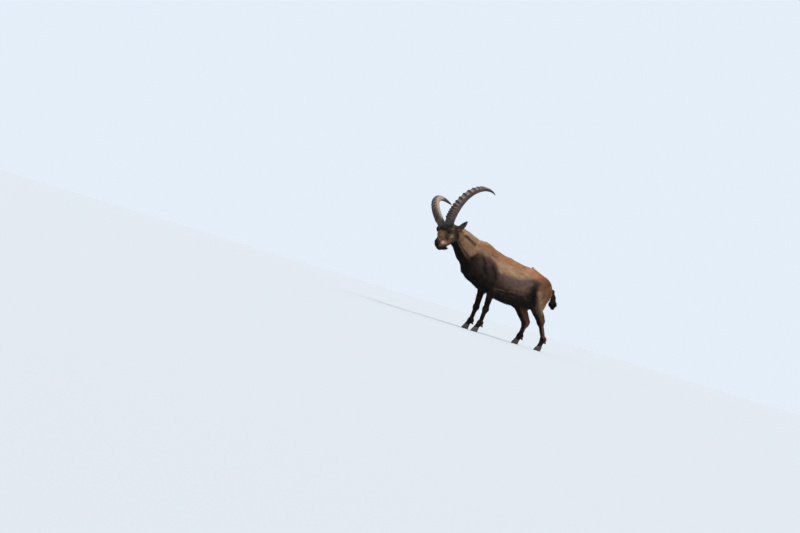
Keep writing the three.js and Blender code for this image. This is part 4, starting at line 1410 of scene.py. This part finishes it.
def make_horn(word, side):
    q = np.linspace(-HORN_INSIDE / HORN_LENGTH, 0.998, HORN_RINGS)
    middle, front, flank = horn_line(q)
    size = np.maximum(0.02, (1 - np.maximum(0, q) ** 1.8) ** 0.8)
    angle = np.linspace(0, 2 * math.pi, HORN_SIDES, endpoint=False)
    ahead, aside = np.cos(angle), np.sin(angle)
    square = lambda v, power: np.sign(v) * np.abs(v) ** power
    knob = knob_height(q)
    swell = KNOB_HEIGHT * np.outer(knob, smooth(-0.1, 0.8, ahead))
    fore = smooth(0, 0.6, ahead)
    deep = HORN_DEPTH * size[:, None] * square(ahead, 0.8) * (1 - 0.09 * fore + 1.5 * swell)
    half = HORN_WIDTH * (size**0.6)[:, None] * square(aside, 0.85) * (0.97 + 0.16 * ahead + 0.34 * swell)
    grid = middle[:, None] + deep[:, :, None] * front[:, None] + half[:, :, None] * flank
    flat = grid.reshape(-1, 3)
    rings = np.repeat(q, HORN_SIDES)
    along = np.stack([rings * 700, np.tile(ahead, HORN_RINGS) * 20, np.tile(aside, HORN_RINGS) * 20], 1)
    fine = noise(along * [1, 0.25, 0.25], 4.5, 61) * 0.45 + noise(along * [1, 0.15, 0.15], 13, 62) * 0.7
    centre = np.repeat(middle, HORN_SIDES, 0)
    flat = flat + unit(flat - centre) * (fine * np.repeat(size, HORN_SIDES))[:, None]
    knob_here = (knob[:, None] * smooth(0.1, 0.8, ahead)[None]).ravel()
    front_here = np.tile(smooth(0.2, 0.8, ahead), HORN_RINGS)
    # The inner flank is painted paler except near the tip: painted light, as if the sun fell on that flank
    inner = np.tile(smooth(-0.2, 0.5, aside), HORN_RINGS) * (1 - front_here)
    colour = mix(HORN_BASE, HORN_DARK, smooth(-0.5, 0.7, noise(along, 16, 63)) * 0.7)
    colour = mix(colour, HORN_WARM, smooth(0.1, 0.8, noise(along * [0.6, 0.1, 0.1], 12, 65)) * 0.4)
    colour = mix(colour, HORN_PALE, inner * smooth(0.86, 0.7, rings) * 0.75)
    colour = mix(colour, HORN_GREY, front_here * (1 - smooth(0.1, 0.4, knob_here)) * 0.6)
    colour = mix(colour, HORN_DARK * 0.5, smooth(0.35, 0.9, knob_here) * 0.85)
    colour = mix(colour, HORN_DARK * 0.7, smooth(0.72, 0.95, rings) * 0.8)
    colour = mix(colour, HORN_DARK * 0.6, smooth(0.075, 0.03, rings) * 0.85)
    colour = mix(colour, HORN_DARK * 0.6, np.tile(smooth(-0.6, -0.95, ahead), HORN_RINGS) * 0.6)
    colour = mix(colour, HORN_PALE, smooth(0.3, 0.9, noise(along * [1, 0.1, 0.1], 5, 64)) * 0.18)
    flip = np.array([1, side, 1])
    shaped = from_head(flat * flip).reshape(HORN_RINGS, HORN_SIDES, 3)
    tip = from_head((middle[-1] + (middle[-1] - middle[-2]) * 1.2) * flip)
    net, faces = ring_piece(shaped, from_head(middle[0] * flip), tip)
    colour = np.concatenate([[HORN_DARK], colour, [HORN_DARK]])
    piece = make_mesh("horn_shaped_" + word, net, faces, colour, horn_material)
    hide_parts("horn_" + word)
    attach(piece, "root")


for word, side in SIDES:
    make_horn(word, side)


# Eyes: a ball with a domed cornea and a level pupil, and a dark rim along the lids
IRIS = linear((96, 58, 24))
IRIS_RIM = linear((30, 19, 12))
WHITE = linear((40, 28, 22))
PUPIL = linear((10, 8, 8))
LID_COLOUR = linear((20, 16, 15))
DOME = 1.6
LID_RADIUS = 1.5


def make_eye(word, side):
    rows, columns = 72, 96
    polar = np.radians(np.linspace(2, 178, rows))
    angle = np.linspace(0, 2 * math.pi, columns, endpoint=False)
    out = np.cos(polar)[:, None] + 0 * angle
    fore = np.sin(polar)[:, None] * np.cos(angle)
    up = np.sin(polar)[:, None] * np.sin(angle)
    way = out[..., None] * EYE_OUT + fore[..., None] * EYE_FORE + up[..., None] * EYE_UP
    dome = DOME * np.exp(-((polar / math.radians(27)) ** 4))
    rings = EYE_AT + way * (EYE_RADIUS + dome)[:, None, None]
    flip = np.array([1, side, 1])
    start = (EYE_AT + EYE_OUT * (EYE_RADIUS + DOME)) * flip
    end = (EYE_AT - EYE_OUT * EYE_RADIUS) * flip
    net, faces = ring_piece(from_head(rings * flip), from_head(start), from_head(end))
    degrees = np.degrees(polar)[:, None] + 0 * angle
    wide, tall = degrees * np.cos(angle), degrees * np.sin(angle)
    spokes = np.abs(np.sin(angle * 23 + 3 * np.sin(angle * 7)))
    iris = mix(IRIS, IRIS_RIM, (smooth(16, 33, degrees) * 0.8 + 0.2 * spokes).ravel())
    colour = mix(WHITE, iris, smooth(36, 33, degrees).ravel())
    pupil = smooth(1.1, 0.9, (np.abs(wide / 22) ** 4 + np.abs(tall / 10) ** 4) ** 0.25)
    colour = mix(colour, PUPIL, pupil.ravel())
    colour = np.concatenate([[PUPIL], colour, [WHITE]])
    piece = make_mesh("eyeball_" + word, net, faces, colour, eye_material)
    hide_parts("eye_" + word)
    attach(piece, "root")


def make_lid(word, side):
    """A tube along the edge of the opening"""
    turns = np.linspace(0, 2 * math.pi, 72, endpoint=False)
    along = OPEN_LONG * np.cos(turns)
    lift = np.where(np.sin(turns) > 0, OPEN_HIGH, OPEN_LOW) * np.sin(turns)
    along, lift = np.radians(along), np.radians(lift)
    way = (
        (np.cos(lift) * np.cos(along))[:, None] * EYE_OUT
        + (np.cos(lift) * np.sin(along))[:, None] * EYE_FORE
        + np.sin(lift)[:, None] * EYE_UP
    )
    line = EYE_AT + way * (EYE_RADIUS + 0.9)
    tangent = unit(np.roll(line, -1, 0) - np.roll(line, 1, 0))
    outside = np.cross(way, tangent)
    angle = np.linspace(0, 2 * math.pi, 12, endpoint=False)[None, :, None]
    tube = line[:, None] + LID_RADIUS * (np.cos(angle) * way[:, None] + np.sin(angle) * outside[:, None])
    tube = tube * np.array([1, side, 1])
    count, sides = tube.shape[:2]
    i, j = np.meshgrid(np.arange(count), np.arange(sides), indexing="ij")
    at = lambda a, b: (a % count) * sides + b % sides
    quads = np.stack([at(i, j), at(i + 1, j), at(i + 1, j + 1), at(i, j + 1)], -1).reshape(-1, 4)
    if side > 0:
        quads = quads[:, ::-1]
    net = from_head(tube.reshape(-1, 3))
    colour = np.tile(LID_COLOUR, (len(net), 1))
    piece = make_mesh("lid_rim_" + word, net, quads, colour, lid_material)
    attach(piece, "root")


for word, side in SIDES:
    make_eye(word, side)
    make_lid(word, side)


# Hooves. A claw at each level: share of its height, share of its size, and how far back it sits
HOOF_DARK = linear((40, 34, 31))
HOOF_PALE = linear((84, 72, 62))
CLAW_LEVELS = [
    *((0, 0.965, 0), (0.02, 0.99, 0), (0.06, 1, 0), (0.35, 0.96, 3)),
    *((0.75, 0.84, 10), (0.93, 0.74, 15), (1, 0.7, 17)),
]
DEWCLAW_LENGTH = 29


def make_claw(name, leg, side):
    foot_x, foot_y = leg["foot"][0] - CLAW_AHEAD, leg["y"]
    heights, sizes, backs = np.array(CLAW_LEVELS).T
    ups = np.concatenate([[0, 0.015, 0.05], np.linspace(0.1, 1, 26)])
    angle = np.linspace(0, 2 * math.pi, 48, endpoint=False)
    ahead = np.cos(angle)
    tip = np.where(ahead > 0, 1 - 0.42 * ahead**2, 1)
    rings = []
    for up in ups:
        size = np.interp(up, heights, sizes) + 0.006 * math.sin(up * 40)
        x = foot_x - CLAW_LENGTH / 2 * size * ahead + np.interp(up, heights, backs)
        out = side * CLAW_SPREAD - side * 2.2 * np.maximum(0, ahead) ** 2
        y = foot_y + out + CLAW_WIDTH / 2 * size * np.sin(angle) * tip
        rings.append(np.stack([x, y, np.full(48, up * CLAW_HEIGHT)], 1))
    net, faces = ring_piece(np.array(rings), rings[0].mean(0), rings[-1].mean(0))
    shade = smooth(-0.6, 0.8, noise(net * [0.3, 0.3, 1], 5, 71))
    colour = mix(HOOF_DARK, HOOF_PALE, shade * 0.5)
    piece = make_mesh("hoof_" + name, net, faces, colour, hoof_material)
    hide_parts("claw_" + name)
    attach(piece, "root")


def make_dewclaw(name, leg, side):
    root = np.array([leg["low"][0] + 16.0, leg["y"] + side * 15, leg["low"][1] - 14])
    way = unit(np.array([0.62, side * 0.18, -0.76]))
    flank = unit(np.array([0, 1.0, 0]) - way[1] * way)
    deep = np.cross(way, flank)
    places = np.linspace(0, DEWCLAW_LENGTH, 14)
    radii = np.interp(places, [0, 10, 22, DEWCLAW_LENGTH], [8.5, 9.5, 7, 2.5])
    angle = np.linspace(0, 2 * math.pi, 24, endpoint=False)
    ring = np.outer(np.cos(angle), flank) + np.outer(np.sin(angle), deep)
    rings = root + places[:, None, None] * way + radii[:, None, None] * ring
    net, faces = ring_piece(rings, root, root + way * (DEWCLAW_LENGTH + 1))
    colour = np.tile(HOOF_DARK, (len(net), 1))
    piece = make_mesh("small_hoof_" + name, net, faces, colour, hoof_material)
    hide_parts("dewclaw_" + name)
    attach(piece, "root")


for name, leg in LEGS.items():
    sign = math.copysign(1, leg["y"])
    for word, side in (("inner", -sign), ("outer", sign)):
        make_claw(f"{name}_{word}", leg, side)
        make_dewclaw(f"{name}_{word}", leg, side)


# The floor and the light
def make_floor():
    bpy.ops.mesh.primitive_plane_add(size=400)
    floor = bpy.context.object
    floor.name = "floor"
    made = bpy.data.materials.new("floor")
    made.use_nodes = True
    shader = made.node_tree.nodes["Principled BSDF"]
    shader.inputs["Base Color"].default_value = (0.42, 0.44, 0.46, 1)
    shader.inputs["Roughness"].default_value = 0.9
    floor.data.materials.append(made)


def make_sun(name, towards, angle, power, colour=(1, 1, 1)):
    """Light that comes evenly from one side; the angle makes it soft"""
    data = bpy.data.lights.new(name, "SUN")
    data.angle = math.radians(angle)
    data.energy = power
    data.color = colour
    light = bpy.data.objects.new(name, data)
    bpy.context.scene.collection.objects.link(light)
    light.rotation_euler = Vector(towards).to_track_quat("Z", "Y").to_euler()


make_floor()
make_sun("key", (0.3, -0.6, 0.9), 20, 3.7, (1.0, 0.97, 0.93))
make_sun("fill", (-0.9, -0.7, 0.5), 60, 0.35)
world = bpy.data.worlds.new("studio")
world.use_nodes = True
world.node_tree.nodes["Background"].inputs["Color"].default_value = (0.82, 0.9, 1.0, 1)
world.node_tree.nodes["Background"].inputs["Strength"].default_value = 0.95
bpy.context.scene.world = world
bpy.context.scene.view_settings.view_transform = "Standard"


# The camera: low, far away, turned and rolled as in the photograph
CAMERA_AZIMUTH = -10.0
CAMERA_ROLL = 17.0
CAMERA_DISTANCE = 16.0
CAMERA_HEIGHT = 0.17
LENS = 72
SENSOR = 36
FOCAL_PIXELS = 1600
AXIS_PIXEL = (494.0, 319.6)
MIDDLE_PIXEL = (400.0, 266.5)


def make_camera():
    azimuth, roll = math.radians(CAMERA_AZIMUTH), math.radians(CAMERA_ROLL)
    right = np.array([math.cos(azimuth), math.sin(azimuth), 0])
    away = np.array([-math.sin(azimuth), math.cos(azimuth), 0])
    up = np.array([0, 0, 1.0])
    picture_right = math.cos(roll) * right + math.sin(roll) * up
    picture_up = -math.sin(roll) * right + math.cos(roll) * up
    aside = picture_right * (MIDDLE_PIXEL[0] - AXIS_PIXEL[0])
    look = unit(away * FOCAL_PIXELS + aside + picture_up * (AXIS_PIXEL[1] - MIDDLE_PIXEL[1]))
    picture_right = unit(picture_right - (picture_right @ look) * look)
    picture_up = np.cross(picture_right, look)
    data = bpy.data.cameras.new("camera")
    data.lens = LENS
    data.sensor_width = SENSOR
    data.clip_end = 1000
    camera = bpy.data.objects.new("camera", data)
    bpy.context.scene.collection.objects.link(camera)
    place = -away * CAMERA_DISTANCE + [0, 0, CAMERA_HEIGHT] + SHIFT / 1000
    turned = Matrix(np.column_stack([picture_right, picture_up, -look]).tolist()).to_4x4()
    turned.translation = place
    camera.matrix_world = turned
    bpy.context.scene.camera = camera


make_camera()
